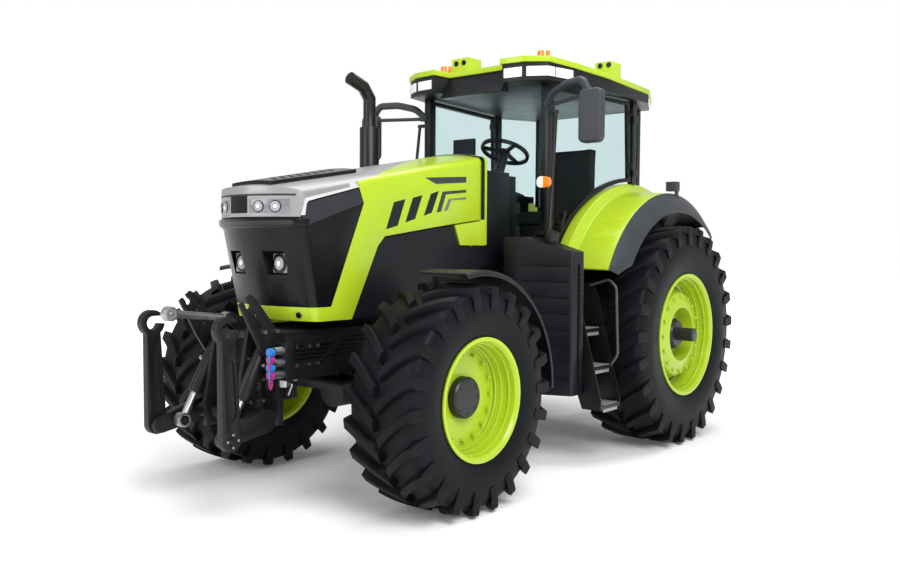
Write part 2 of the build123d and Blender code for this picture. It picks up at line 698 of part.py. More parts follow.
with BuildPart() as front_lamps:
    both_sides(lamp_box, Mode.ADD)
    add(bonnet_shell.part, mode=Mode.INTERSECT)
    both_sides(((pocket_front_x, pocket_front_x + 14), (pocket_y[0] + 12, pocket_y[1] - 12),
                (pocket_z[0] + 12, pocket_z[1] - 12)), Mode.ADD)
save(front_lamps.part, "front_lamps")

# Slatted scoop on the bonnet's top
scoop_plan = mirrored([(x_front + 800, 190), (x_front + 120, 230)])
scoop_height = 24
with BuildPart() as bonnet_scoop:
    add(bonnet_form(-scoop_height, bonnet_rear_x, foot_z))
    plan_plate(scoop_plan, 1900, 2700, Mode.INTERSECT)
    add(bonnet_form(-seat_gap, bonnet_rear_x, foot_z), mode=Mode.SUBTRACT)
    for k in range(8):
        x = x_front + 170 + 66 * k
        for side in (1, -1):
            plan_plate([(x, 0), (x + 34, 0), (x + 114, side * 165), (x + 80, side * 165)], 1900, 2700,
                       Mode.SUBTRACT)
save(bonnet_scoop.part, "bonnet_scoop")

# Cowl behind the bonnet: the fixed strip, its side tabs, the hinge pins and the wall behind the engine
hinge_pin_x = cowl_front_x + hinge_pin_radius
hinge_pin_z = bonnet_rear_top - 9
tab_bottom = 1654
with BuildPart() as cowl:
    block((cowl_rear_x, cowl_front_x), (-bonnet_half, bonnet_half), (tab_bottom + 6, bonnet_rear_top + 100))
    crown_prism(0, Mode.INTERSECT)
    block((cowl_rear_x, engine_rear_x), (-engine_half, engine_half), (1180, tab_bottom + 16))
    for side in (1, -1):
        low, high = sorted((side * (bonnet_half - 22), side * bonnet_half))
        side_plate([(cowl_rear_x + 20, tab_bottom), (x_rear + 1977, tab_bottom), (x_rear + 2040, 1798),
                    (bonnet_rear_x, 1835), (cowl_rear_x + 20, 1835)], low, high)
        low, high = sorted((side * 15, side * 95))
        cross_rod(hinge_pin_x, hinge_pin_z, low, high, hinge_pin_radius)
        block((cowl_front_x - 10, cowl_front_x + 4), (low, high), (hinge_pin_z - 4, hinge_pin_z + 4))
save(cowl.part, "cowl")

# Side shields between the bonnet's lower edge and the rails, and the scuttle ahead of the windscreen
shield_bottom = 1180
shield_face = bonnet_half - 8
with BuildPart() as side_shields:
    for side in (1, -1):
        low, high = sorted((side * (shield_face - 22), side * shield_face))
        side_plate([(cowl_rear_x + 58, tab_bottom - 8), (x_rear + 1984, tab_bottom - 8),
                    (x_rear + 2047, 1797),
                    (x_rear + 2207, 1777), (x_front + 6, 1698), (x_front + 68, 1636),
                    (x_front + 300, shield_bottom), (cowl_rear_x + 58, shield_bottom)], low, high)
        block((x_rear + 2200, engine_front_x - 10), sorted((side * engine_half, side * (shield_face - 10))),
              (shield_bottom, shield_bottom + 12))
    block((cab_front_x + 95, cowl_rear_x), (60 - bonnet_half, bonnet_half - 60), (1500, glass_bottom + 520))
save(side_shields.part, "side_shields")

# Exhaust: silencer, tail pipe bent forward, elbow into the side shield
exhaust_x = x_rear + 1900
exhaust_y = -bonnet_half - 230
can_bottom = 1500
can_top = roof_underside - 320
with BuildPart() as exhaust:
    rod((exhaust_x, exhaust_y, can_bottom), (exhaust_x, exhaust_y, can_top), 78)
    rod((exhaust_x, exhaust_y, can_bottom + 60), (exhaust_x, -shield_face - seat_gap, can_bottom + 60), 55)
    block((exhaust_x - 40, exhaust_x + 40), (exhaust_y, -bonnet_half - seat_gap),
          (can_bottom + 200, can_bottom + 260))
    with BuildLine() as tail:
        Polyline((exhaust_x, exhaust_y, can_top - 20), (exhaust_x, exhaust_y, can_top + 230),
                 (exhaust_x + 70, exhaust_y, can_top + 315), (exhaust_x + 220, exhaust_y, can_top + 365))
    with BuildSketch(Plane.XY.offset(can_top - 20)):
        with Locations((exhaust_x, exhaust_y)):
            Circle(50)
    sweep(path=tail.line, transition=Transition.RIGHT)
save(exhaust.part, "exhaust")

# Cab tub: floor, side walls under the fenders' crest and the doors, front and rear walls
tub_front_x = cab_front_x + 35
sill_end_x = cab_front_x - 46
with BuildPart() as cab_tub:
    plan_plate(mirrored([(cab_rear_x, pillar_rear_y), (x_rear - 300, tub_half), (sill_end_x, tub_half),
                         (tub_front_x, pillar_front_y - 10)]), floor_z - 30, floor_z)
    block((cab_front_x + 16, tub_front_x), (10 - pillar_front_y, pillar_front_y - 10),
          (floor_z, glass_bottom))
    block((cab_rear_x, cab_rear_x + 20), (-pillar_rear_y, pillar_rear_y), (floor_z, rear_sill))
    for side in (1, -1):
        low, high = sorted((side * (tub_half - 20), side * tub_half))
        with BuildSketch(side_plane(low)):
            with Locations((x_rear, rear_tyre_radius)):
                Circle(fender_crest)
            with Locations(((x_rear - 300 + sill_end_x) / 2, floor_z - 30 + fender_crest / 2)):
                Rectangle(sill_end_x - x_rear + 300, fender_crest, mode=Mode.INTERSECT)
        extrude(amount=low - high)
    for x in (x_rear - 200, x_rear + 200):
        for y in (-200, 200):
            block((x - 60, x + 60), (y - 60, y + 60), (1260, floor_z - 30))
    block((x_rear + 900, x_rear + 1000), (-200, 200), (1180, floor_z - 30))
save(cab_tub.part, "cab_tub")

# Cab pillars, with the door hinges' fixed halves on the middle pair
hinge_x = mid_pillar_x + 4
hinge_y = pillar_mid_y + 12
hinge_rows = (roof_underside - 620, roof_underside - 160)
crest_z = rear_tyre_radius + fender_crest
with BuildPart() as cab_pillars:
    for side in (1, -1):
        low, high = sorted((side * (pillar_front_y - 35), side * (pillar_front_y + 30)))
        block((cab_front_x - 45, cab_front_x + 15), (low, high), (floor_z, roof_underside))
        low, high = sorted((side * (pillar_mid_y - 45), side * pillar_mid_y))
        block((mid_pillar_x - 70, mid_pillar_x), (low, high), (crest_z, roof_underside))
        low, high = sorted((side * (pillar_rear_y - 40), side * pillar_rear_y))
        block((cab_rear_x, cab_rear_x + 60), (low, high), (rear_sill, roof_underside))
        for z in hinge_rows:
            low, high = sorted((side * pillar_mid_y, side * (hinge_y + 10)))
            block((mid_pillar_x - 50, hinge_x), (low, high), (z - 30, z + 30))
            rod((hinge_x, side * hinge_y, z - 30), (hinge_x, side * hinge_y, z + 30), 10)
save(cab_pillars.part, "cab_pillars")

# Cab glass: curved windscreen, rear window and the rear corner panes
pane = 8
pane_x = cab_front_x + 18
pane_bow = 52
with BuildPart() as cab_glass:
    with BuildSketch(Plane.XY.offset(glass_bottom)):
        with BuildLine():
            ThreePointArc((pane_x, -pillar_front_y), (pane_x + pane_bow, 0), (pane_x, pillar_front_y))
            Line((pane_x, pillar_front_y), (pane_x + pane, pillar_front_y))
            ThreePointArc((pane_x + pane, pillar_front_y), (pane_x + pane_bow + pane, 0),
                          (pane_x + pane, -pillar_front_y))
            Line((pane_x + pane, -pillar_front_y), (pane_x, -pillar_front_y))
        make_face()
    extrude(amount=roof_underside - glass_bottom)
    block((cab_rear_x + 6, cab_rear_x + 13), (40 - pillar_rear_y, pillar_rear_y - 40),
          (rear_sill, roof_underside))
    for side in (1, -1):
        plan_plate([(mid_pillar_x - 70, side * (pillar_mid_y - 15)),
                    (mid_pillar_x - 70, side * (pillar_mid_y - 23)),
                    (cab_rear_x + 60, side * (pillar_rear_y - 18)),
                    (cab_rear_x + 60, side * (pillar_rear_y - 10))],
                   rear_sill + 50, roof_underside)
        low, high = sorted((side * 300, side * 900))
        cross_rod(x_rear, rear_tyre_radius, low, high, fender_crest + 1, Mode.SUBTRACT)
save(cab_glass.part, "cab_glass")

# Doors: a slim frame and its pane, hinged at the rear edge
door_rear = (mid_pillar_x + 15, pillar_mid_y - 5)
door_front = (cab_front_x - 50, pillar_front_y + 22)
door_length = Vector(door_front[0] - door_rear[0], door_front[1] - door_rear[1]).length
door_border = 34
door_top = roof_underside - 12


def arc_z(x):
    return rear_tyre_radius + sqrt(door_arc**2 - (x - x_rear) ** 2)


def door_plane(side, depth):
    run = (door_front[0] - door_rear[0], side * (door_front[1] - door_rear[1]), 0)
    plane = Plane(origin=(door_rear[0], side * door_rear[1], 0), x_dir=run, z_dir=(run[1], -run[0], 0))
    return plane.offset(side * depth)


def door_outline(side, depth, inset):
    heel = arc_z(door_rear[0])
    toe = arc_z(door_rear[0] + door_length)
    with BuildSketch(door_plane(side, depth)) as outline:
        with BuildLine():
            ThreePointArc((0, heel), (door_length / 2, arc_z(door_rear[0] + door_length / 2)),
                          (door_length, toe))
            Polyline((door_length, toe), (door_length, door_top), (30, door_top), (0, heel))
        make_face()
        if inset:
            offset(amount=-inset, kind=Kind.INTERSECTION, mode=Mode.REPLACE)
    return outline.sketch


for side, hand in ((1, "left"), (-1, "right")):
    with BuildPart() as door_frame:
        extrude(door_outline(side, 0, 0), amount=side * door_thickness)
        extrude(door_outline(side, -1, door_border), amount=side * (door_thickness + 2), mode=Mode.SUBTRACT)
        for z in hinge_rows:
            low, high = sorted((side * (door_rear[1] - 20), side * (hinge_y + 10)))
            block((hinge_x, mid_pillar_x + 44), (low, high), (z + 30 + seat_gap, z + 85))
            rod((hinge_x, side * hinge_y, z + 30 + seat_gap), (hinge_x, side * hinge_y, z + 85), 10)
    save(door_frame.part, f"door_{hand}_frame")

    with BuildPart() as door_glass:
        extrude(door_outline(side, 12, door_border), amount=side * pane)
    save(door_glass.part, f"door_{hand}_glass")

# Roof: a black fascia and a green cap over it, two lamp pods beside a sloped visor, falling to the rear
visor_half = roof_half - 490
visor_bottom = roof_underside - visor_drop


def roof_plan(grow):
    return mirrored([(cab_rear_x - 50 - grow, roof_half - 180 + grow), (x_rear - 120, roof_half + grow),
                     (x_rear + 600, roof_half + grow), (x_rear + 1040, roof_half - 45 + grow),
                     (cab_front_x + 125 + 0.4 * grow, roof_half - 100 + 0.9 * grow),
                     (cab_front_x + 215 + grow, roof_half - 250 + 0.4 * grow),
                     (cab_front_x + 235 + grow, roof_half - 450 - grow),
                     (cab_front_x + 75 + grow, visor_half - grow)])


def roof_form(grow, sink):
    with BuildPart() as form:
        plan_plate(roof_plan(grow), roof_underside, roof_front_top + 100)
        side_plate([(cab_front_x + 300, roof_front_top - sink), (cab_front_x + 300, roof_front_top + 300),
                    (cab_rear_x - 100, roof_front_top + 300), (cab_rear_x - 100, roof_rear_top - sink)],
                   -roof_half - 50, roof_half + 50, Mode.SUBTRACT)
    return form.part


visor_top = roof_front_top - roof_skin - 20
with BuildPart() as roof_fascia:
    add(roof_form(0, roof_skin))
    side_plate([(cab_front_x + 60, roof_underside), (cab_front_x + 92, roof_underside),
                (cab_front_x + 92, visor_bottom), (cab_front_x + 190, visor_bottom),
                (cab_front_x + 75, visor_top),
                (cab_front_x + 60, visor_top)], 2 - visor_half, visor_half - 2)
save(roof_fascia.part, "roof_fascia")

with BuildPart() as cab_roof:
    add(roof_form(roof_overhang, 0))
    add(roof_form(roof_overhang + 5, roof_skin), mode=Mode.SUBTRACT)
    # Two receiver boxes
    block((cab_front_x - 100, cab_front_x + 70), (-290, -110), (roof_front_top - 30, roof_front_top + 100))
    block((x_rear + 300, x_rear + 470), (roof_half - 190, roof_half - 40),
          (roof_rear_top + 15, roof_front_top + 90))
save(cab_roof.part, "cab_roof")

lens_z = (roof_underside + 30, roof_front_top - roof_skin - 40)
lens_boxes = (
    ((cab_front_x + 150, cab_front_x + 300), (roof_half - 430, roof_half - 275), lens_z),
    ((cab_front_x + 60, cab_front_x + 210), (roof_half - 240, roof_half + 20), lens_z),
    ((cab_front_x - 140, cab_front_x + 45), (roof_half - 110, roof_half + 20), lens_z),
    ((cab_rear_x - 100, x_rear - 180), (roof_half - 170, roof_half + 20),
     (roof_underside + 8, roof_rear_top - roof_skin - 6)),
)
with BuildPart() as roof_lamps:
    for box in lens_boxes:
        both_sides(box, Mode.ADD)
    add(roof_form(9, roof_skin + 5), mode=Mode.INTERSECT)
    add(roof_form(0, roof_skin), mode=Mode.SUBTRACT)
save(roof_lamps.part, "roof_lamps")

# Seat, dash console with the monitor, and steering wheel
seat_z = 1850
with BuildPart() as seat:
    block((x_rear - 100, x_rear + 400), (-250, 250), (seat_z, seat_z + 110))
    block((x_rear - 210, x_rear - 100), (-240, 240), (seat_z + 10, seat_z + 710))
save(seat.part, "seat")

column_foot = Vector(x_rear + 1000, 0, 2230)
wheel_centre = Vector(x_rear + 900, 0, 2450)
column_dir = (wheel_centre - column_foot).normalized()
with BuildPart() as cab_fittings:
    block((x_rear - 20, x_rear + 330), (-200, 200), (floor_z, seat_z))
    block((x_rear + 950, cab_front_x + 10), (-150, 150), (floor_z, column_foot.Z))
    rod((column_foot.X, 0, column_foot.Z), tuple(wheel_centre - column_dir * (14 + seat_gap)), 40)
    rod((x_rear + 1080, -140, 2150), (x_rear + 1080, -300, 2450), 14)
    block((x_rear + 1060, x_rear + 1090), (-410, -190), (2400, 2560))
    # Armrest on its post beside the seat
    block((x_rear + 60, x_rear + 330), (-360, -270), (seat_z + 210, seat_z + 270))
    block((x_rear + 120, x_rear + 200), (-330, -199), (seat_z - 120, seat_z - 60))
    block((x_rear + 120, x_rear + 200), (-330, -290), (seat_z - 120, seat_z + 211))
save(cab_fittings.part, "cab_fittings")

with BuildPart() as steering_wheel:
    rim_plane = Plane(origin=tuple(wheel_centre), x_dir=(0, 1, 0), z_dir=tuple(column_dir))
    with BuildSketch(rim_plane.offset(-14)):
        Circle(210)
        Circle(182, mode=Mode.SUBTRACT)
        Circle(45)
        for turn in (90, 210, 330):
            with Locations((100 * cos(radians(turn)), 100 * sin(radians(turn)))):
                Rectangle(190, 30, rotation=turn)
    extrude(amount=28)
save(steering_wheel.part, "steering_wheel")

# Rear fenders and their black flares, each with a work lamp on a stalk
fender_outer = 1190
fender_inner = fender_outer - 24
fender_profile = [(fender_crest, tub_half + seat_gap), (fender_crest, tub_half + 90),
                  (fender_outer + 22, tub_half + 133),
                  (fender_outer, fender_edge_y), (fender_inner, fender_edge_y),
                  (fender_inner + 14, tub_half + 125),
                  (fender_inner + 14, tub_half + 28), (1000, tub_half + 28), (1000, tub_half + seat_gap)]
with BuildPart() as rear_fenders:
    for side in (1, -1):
        ring([(r, side * y) for r, y in fender_profile], x_rear, rear_tyre_radius, fender_first, fender_last)
save(rear_fenders.part, "rear_fenders")

flare_profile = [(fender_inner, fender_edge_y), (fender_outer, fender_edge_y),
                 (fender_outer - 90, flare_edge_y - 33),
                 (fender_outer - 150, flare_edge_y), (fender_inner - 140, flare_edge_y - 10),
                 (fender_inner - 88, flare_edge_y - 43)]
taper_x = x_rear + fender_outer * cos(radians(fender_first)) + 20
taper_length = 420
lamp_foot = rear_tyre_radius + fender_outer - 26
lamp_x = x_rear - 85
with BuildPart() as fender_flares:
    for side in (1, -1):
        ring([(r, side * y) for r, y in flare_profile], x_rear, rear_tyre_radius, fender_first, fender_last)
        plan_plate([(taper_x, side * (fender_edge_y + 6)), (taper_x, side * (flare_edge_y + 60)),
                    (taper_x - taper_length, side * (flare_edge_y + 60))], fender_outer, 2 * fender_outer,
                    Mode.SUBTRACT)
        block((lamp_x - 20, lamp_x + 20), sorted((side * (fender_edge_y + 2), side * (fender_edge_y + 20))),
              (lamp_foot, lamp_foot + 55))
        block((lamp_x - 40, lamp_x + 40), sorted((side * (fender_edge_y - 70), side * (fender_edge_y + 20))),
              (lamp_foot + 50, lamp_foot + 130))
save(fender_flares.part, "fender_flares")

# Side boxes: the fuel tank on the left, grooved on its slanted face, and the battery box on the right
tank_bottom = 540
tank_top = 1720
tank_face = tub_half + 355
groove_pitch = 118
groove_height = 26
groove_depth = 7
box_room = x_front - front_tyre_radius - box_rear_x
box_length = 0.62 * box_room
tank_length = 0.4 * box_room
tank_nose = (box_rear_x + tank_length - 10, box_half + 120)
tank_shoulder = (box_rear_x + tank_length / 2, tank_face)
slant = (Vector(*tank_shoulder) - Vector(*tank_nose)).normalized()
inward = Vector(-slant.Y, slant.X)
groove_ends = (Vector(*tank_nose) + 30 * slant, Vector(*tank_shoulder) - 30 * slant)
groove_plan = [groove_ends[0] - 20 * inward, groove_ends[1] - 20 * inward,
               groove_ends[1] + groove_depth * inward, groove_ends[0] + groove_depth * inward]
with BuildPart() as side_boxes:
    plan_plate([(box_rear_x, box_half), (box_rear_x + tank_length, box_half), tank_nose, tank_shoulder,
                (box_rear_x, tank_face)], tank_bottom, tank_top)
    fillet(side_boxes.edges().filter_by(Axis.Z).group_by(Axis.Y)[-1], 24)
    for k in range(1, 9):
        low = tank_bottom + groove_pitch * k
        plan_plate([(corner.X, corner.Y) for corner in groove_plan], low, low + groove_height, Mode.SUBTRACT)
    with BuildSketch(Plane(origin=(box_rear_x - 1, 0, 0), x_dir=(0, 1, 0), z_dir=(1, 0, 0))) as top_cut:
        with BuildLine():
            Polyline((tank_face + 1, tank_top - 110), (tank_face + 1, tank_top + 10),
                     (box_half + 130, tank_top + 10),
                     close=True)
        make_face()
    extrude(top_cut.sketch, amount=400, mode=Mode.SUBTRACT)
    side_plate([(box_rear_x, 600), (box_rear_x + 40, 560), (box_rear_x + box_length - 60, 560),
                (box_rear_x + box_length, 620), (box_rear_x + box_length, 1240),
                (box_rear_x + box_length - 40, 1280), (box_rear_x, 1280)], 100 - tank_face, -box_half)
    fillet(side_boxes.edges().group_by(Axis.Y)[0], 40)
save(side_boxes.part, "side_boxes")

# Cab steps, two side plates and three treads each side, and the grab rails on the front pillars
step_rear_x = x_rear + rear_tyre_radius + 25
step_edge = tub_half + 505
rail_y = pillar_front_y + 95
rail_top = roof_underside - 220
rail_foot = glass_bottom + 44
with BuildPart() as cab_steps:
    for side in (1, -1):
        for x in (step_rear_x, box_rear_x - 12):
            with BuildSketch(Plane(origin=(x, 0, 0), x_dir=(0, 1, 0), z_dir=(1, 0, 0))) as cheek:
                with BuildLine():
                    Polyline(*[(side * y, z) for y, z in [
                        (tub_half + 20, 1375), (step_edge - 255, 1375), (step_edge - 205, 1290),
                        (step_edge, 500),
                        (step_edge, 425), (step_edge - 160, 425), (tub_half + 55, 1180),
                        (tub_half + 20, 1200)]],
                             close=True)
                make_face()
            extrude(cheek.sketch, amount=12)
        for y, z in ((step_edge - 75, 448), (step_edge - 150, 732), (step_edge - 245, 1010)):
            low, high = sorted((side * (y - 80), side * (y + 75)))
            block((step_rear_x + 10, box_rear_x - 10), (low, high), (z - 14, z + 14))
    for side in (1, -1):
        low, high = sorted((side * (pillar_front_y + 30), side * (rail_y + 15)))
        block((cab_front_x - 14, cab_front_x + 14), (low, high), (rail_top - 20, rail_top + 8))
        rod((cab_front_x, side * rail_y, rail_top), (cab_front_x + 110, side * (rail_y + 20), rail_foot - 4),
            13)
        low, high = sorted((side * (pillar_front_y - 10), side * (rail_y + 35)))
        block((cab_front_x + 76, cab_front_x + 134), (low, high), (rail_foot - 14, rail_foot + 14))
        low, high = sorted((side * (pillar_front_y + 5), side * (pillar_front_y + 30)))
        block((cab_front_x + 15, cab_front_x + 100), (low, high), (rail_foot - 14, rail_foot + 14))
save(cab_steps.part, "cab_steps")

# Mirrors and lamps on the front pillars, and the roof beacons
mirror_z = roof_underside - 510
mirror_y = pillar_front_y + 415
arm_z = mirror_z + 345
with BuildPart() as mirrors:
    for side in (1, -1):
        block((cab_front_x + 150, cab_front_x + 215), sorted((side * mirror_y, side * (mirror_y + 190))),
              (mirror_z, mirror_z + 390))
    fillet(mirrors.edges().filter_by(Axis.X), 45)
    fillet(mirrors.edges().group_by(Axis.X)[-1], 18)
    for side in (1, -1):
        low, high = sorted((side * (pillar_front_y + 30), side * (pillar_front_y + 80)))
        block((cab_front_x - 14, cab_front_x + 14), (low, high), (arm_z - 20, arm_z + 20))
        rod((cab_front_x, side * (pillar_front_y + 65), arm_z),
            (cab_front_x + 180, side * (mirror_y + 30), arm_z), 15)
save(mirrors.part, "mirrors")

indicator_z = 2137
beacon_x = cab_front_x - 115
beacon_y = 500
with BuildPart() as amber_lamps:
    for side in (1, -1):
        low, high = sorted((side * (pillar_front_y + 55), side * (pillar_front_y + 165)))
        block((cab_front_x + 165, cab_front_x + 205), (low, high), (indicator_z - 42, indicator_z + 42))
    fillet(amber_lamps.edges().filter_by(Axis.X), 38)
    for side in (1, -1):
        low, high = sorted((side * (pillar_front_y + 30), side * (pillar_front_y + 50)))
        block((cab_front_x - 12, cab_front_x + 12), (low, high), (indicator_z - 13, indicator_z + 13))
        rod((cab_front_x, side * (pillar_front_y + 42), indicator_z),
            (cab_front_x + 172, side * (pillar_front_y + 100), indicator_z), 9)
        rod((beacon_x, side * beacon_y, roof_front_top - 60),
            (beacon_x, side * beacon_y, roof_front_top + 95), 50)
    add(roof_form(roof_overhang, 0), mode=Mode.SUBTRACT)
save(amber_lamps.part, "amber_lamps")
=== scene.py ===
import bmesh
import bpy
import json
import math
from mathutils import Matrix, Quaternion, Vector
from mathutils.bvhtree import BVHTree

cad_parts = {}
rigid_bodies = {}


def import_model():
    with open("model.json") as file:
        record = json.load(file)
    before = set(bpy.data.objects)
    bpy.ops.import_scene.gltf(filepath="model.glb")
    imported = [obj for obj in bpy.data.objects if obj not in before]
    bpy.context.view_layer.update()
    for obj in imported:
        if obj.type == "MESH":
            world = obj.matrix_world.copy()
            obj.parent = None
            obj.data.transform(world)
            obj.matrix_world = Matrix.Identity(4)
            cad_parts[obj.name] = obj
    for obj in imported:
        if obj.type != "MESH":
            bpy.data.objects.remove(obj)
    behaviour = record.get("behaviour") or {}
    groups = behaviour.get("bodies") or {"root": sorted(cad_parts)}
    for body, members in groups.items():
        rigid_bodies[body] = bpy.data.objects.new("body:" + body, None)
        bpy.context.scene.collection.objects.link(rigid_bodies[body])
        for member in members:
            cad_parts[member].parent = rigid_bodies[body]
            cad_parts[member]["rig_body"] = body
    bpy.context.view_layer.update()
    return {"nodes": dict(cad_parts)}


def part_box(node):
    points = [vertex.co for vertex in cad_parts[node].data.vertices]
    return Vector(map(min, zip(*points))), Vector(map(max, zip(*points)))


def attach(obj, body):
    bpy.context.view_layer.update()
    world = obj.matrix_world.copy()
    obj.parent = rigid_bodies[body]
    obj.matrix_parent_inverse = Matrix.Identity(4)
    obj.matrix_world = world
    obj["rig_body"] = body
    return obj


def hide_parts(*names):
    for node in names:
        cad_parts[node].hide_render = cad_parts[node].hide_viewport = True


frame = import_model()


# Tyres: black radial farm tyres, 1.42 m in front and 1.84 m behind, mounted on the rims.
# Each has a smooth carcass and two staggered rows of lugs that curve from the middle to the shoulder.
def add_node(tree, kind, values=None, **settings):
    node = tree.nodes.new(kind)
    for setting, value in settings.items():
        setattr(node, setting, value)
    for entry, value in (values or {}).items():
        node.inputs[entry].default_value = value
    return node


def wire(tree, *links):
    for source, output, target, entry in links:
        tree.links.new(source.outputs[output], target.inputs[entry])


def shader_group(name, inputs, outputs):
    tree = bpy.data.node_groups.new(name, "ShaderNodeTree")
    for label, kind, value in inputs:
        socket = tree.interface.new_socket(label, in_out="INPUT", socket_type=kind)
        socket.default_value = value
    for label, kind in outputs:
        tree.interface.new_socket(label, in_out="OUTPUT", socket_type=kind)
    return tree, tree.nodes.new("NodeGroupInput"), tree.nodes.new("NodeGroupOutput")


def mottle_group():
    # Soft darker patches in a colour, and the mask that makes them
    tree, given, result = shader_group(
        "Mottle",
        [("Color", "NodeSocketColor", (1, 1, 1, 1)), ("Spread", "NodeSocketFloat", 0.08),
         ("Scale", "NodeSocketFloat", 4.0)],
        [("Color", "NodeSocketColor"), ("Mask", "NodeSocketFloat")],
    )
    place = add_node(tree, "ShaderNodeTexCoord")
    noise = add_node(tree, "ShaderNodeTexNoise", {"Detail": 6.0})
    spread = add_node(tree, "ShaderNodeMapRange", {"From Min": 0.3, "From Max": 0.7})
    darkest = add_node(tree, "ShaderNodeMath", {0: 1.0}, operation="SUBTRACT")
    shade = add_node(tree, "ShaderNodeVectorMath", operation="SCALE")
    wire(tree, (place, "Object", noise, "Vector"), (given, "Scale", noise, "Scale"),
         (noise, "Fac", spread, "Value"), (given, "Spread", darkest, 1), (darkest, "Value", spread, "To Min"),
         (given, "Color", shade, 0), (spread, "Result", shade, "Scale"), (shade, "Vector", result, "Color"),
         (noise, "Fac", result, "Mask"))
    return tree


def grain_group():
    # Fine unevenness of a surface
    tree, given, result = shader_group(
        "Grain",
        [("Scale", "NodeSocketFloat", 400.0), ("Depth", "NodeSocketFloat", 0.0005)],
        [("Normal", "NodeSocketVector"), ("Height", "NodeSocketFloat")],
    )
    place = add_node(tree, "ShaderNodeTexCoord")
    noise = add_node(tree, "ShaderNodeTexNoise", {"Detail": 3.0})
    bump = add_node(tree, "ShaderNodeBump", {"Strength": 0.6})
    wire(tree, (place, "Object", noise, "Vector"), (given, "Scale", noise, "Scale"),
         (given, "Depth", bump, "Distance"), (noise, "Fac", bump, "Height"), (bump, "Normal", result, "Normal"),
         (noise, "Fac", result, "Height"))
    return tree


mottle = mottle_group()
grain = grain_group()


def finish_material(name, colour, roughness, spread=0.1, scale=4.0, grain_scale=300.0, grain_depth=0.0003,
                    metallic=0.0, coat=0.0, specular=0.5, rough_spread=0.1):
    material = bpy.data.materials.new(name)
    material.use_nodes = True
    tree = material.node_tree
    shader = tree.nodes["Principled BSDF"]
    shader.inputs["Metallic"].default_value = metallic
    shader.inputs["Coat Weight"].default_value = coat
    shader.inputs["Specular IOR Level"].default_value = specular
    shader.inputs["Coat Roughness"].default_value = 0.06
    tone = add_node(tree, "ShaderNodeGroup", {"Color": (*colour, 1.0), "Spread": spread, "Scale": scale},
                    node_tree=mottle)
    rough = add_node(tree, "ShaderNodeMapRange", {"To Min": max(0.02, roughness - rough_spread),
                                                  "To Max": roughness + rough_spread})
    skin = add_node(tree, "ShaderNodeGroup", {"Scale": grain_scale, "Depth": grain_depth}, node_tree=grain)
    wire(tree, (tone, "Color", shader, "Base Color"), (tone, "Mask", rough, "Value"),
         (rough, "Result", shader, "Roughness"), (skin, "Normal", shader, "Normal"))
    return material


def add_piece(name, mesh, material, slot, body, *nodes):
    mesh.materials.clear()
    mesh.materials.append(material)
    piece = bpy.data.objects.new(name, mesh)
    bpy.context.scene.collection.objects.link(piece)
    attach(piece, body)
    if nodes:
        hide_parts(*nodes)
    return piece


def body_of_node(node):
    return frame["nodes"][node]["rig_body"]


def box_of(node):
    return [Vector(corner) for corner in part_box(node)]


SHARP_ANGLE = 35


def shaded(form, name, sharp=SHARP_ANGLE):
    for face in form.faces:
        face.smooth = True
    for edge in form.edges:
        edge.smooth = len(edge.link_faces) == 2 and edge.calc_face_angle() < math.radians(sharp)
    mesh = bpy.data.meshes.new(name)
    form.to_mesh(mesh)
    form.free()
    return mesh


def bridge(form, loops, closed):
    for first, second in zip(loops, loops[1:]):
        count = len(first)
        for k in range(count if closed else count - 1):
            following = (k + 1) % count
            form.faces.new((first[k], first[following], second[following], second[k]))


def wheel_point(centre, radius, angle, offset):
    return centre + Vector((radius * math.cos(angle), offset, radius * math.sin(angle)))


rubber = finish_material("rubber", (0.0062, 0.0068, 0.0088), 0.48, spread=0.4, scale=5.0, grain_scale=240.0,
                         grain_depth=0.0004, specular=0.1)
CARCASS_STEPS = 120
LUG_STEPS = 8
LUG_CHAMFER = 0.006
LUG_FOOT = 0.008
LUG_ENDS = (0.02, 0.30, 0.492)
LUG_SWELL = 0.8
SHOULDER_DROP = 0.014
SIDEWALL_DROP = 0.045
SIDEWALL_CREEP = 0.004


def tyre_carcass(form, centre, seat, tread, width):
    waist = (seat + tread) / 2
    side = [(seat + 0.001, 0.425), (seat + 0.012, 0.434), (seat + 0.028, 0.44), (seat + 0.034, 0.452),
            (seat + 0.048, 0.456), (seat + 0.056, 0.464), (waist - 0.04, 0.488), (waist, 0.495),
            (waist + 0.035, 0.492), (tread - 0.045, 0.472), (tread - 0.03, 0.46), (tread - 0.014, 0.44),
            (tread - 0.004, 0.415), (tread, 0.38)]
    profile = [(r, -t * width) for r, t in side] + [(r, t * width) for r, t in reversed(side)]
    loops = []
    for step in range(CARCASS_STEPS):
        angle = 2 * math.pi * step / CARCASS_STEPS
        loops.append([form.verts.new(wheel_point(centre, r, angle, t)) for r, t in profile])
    bridge(form, loops + loops[:1], True)


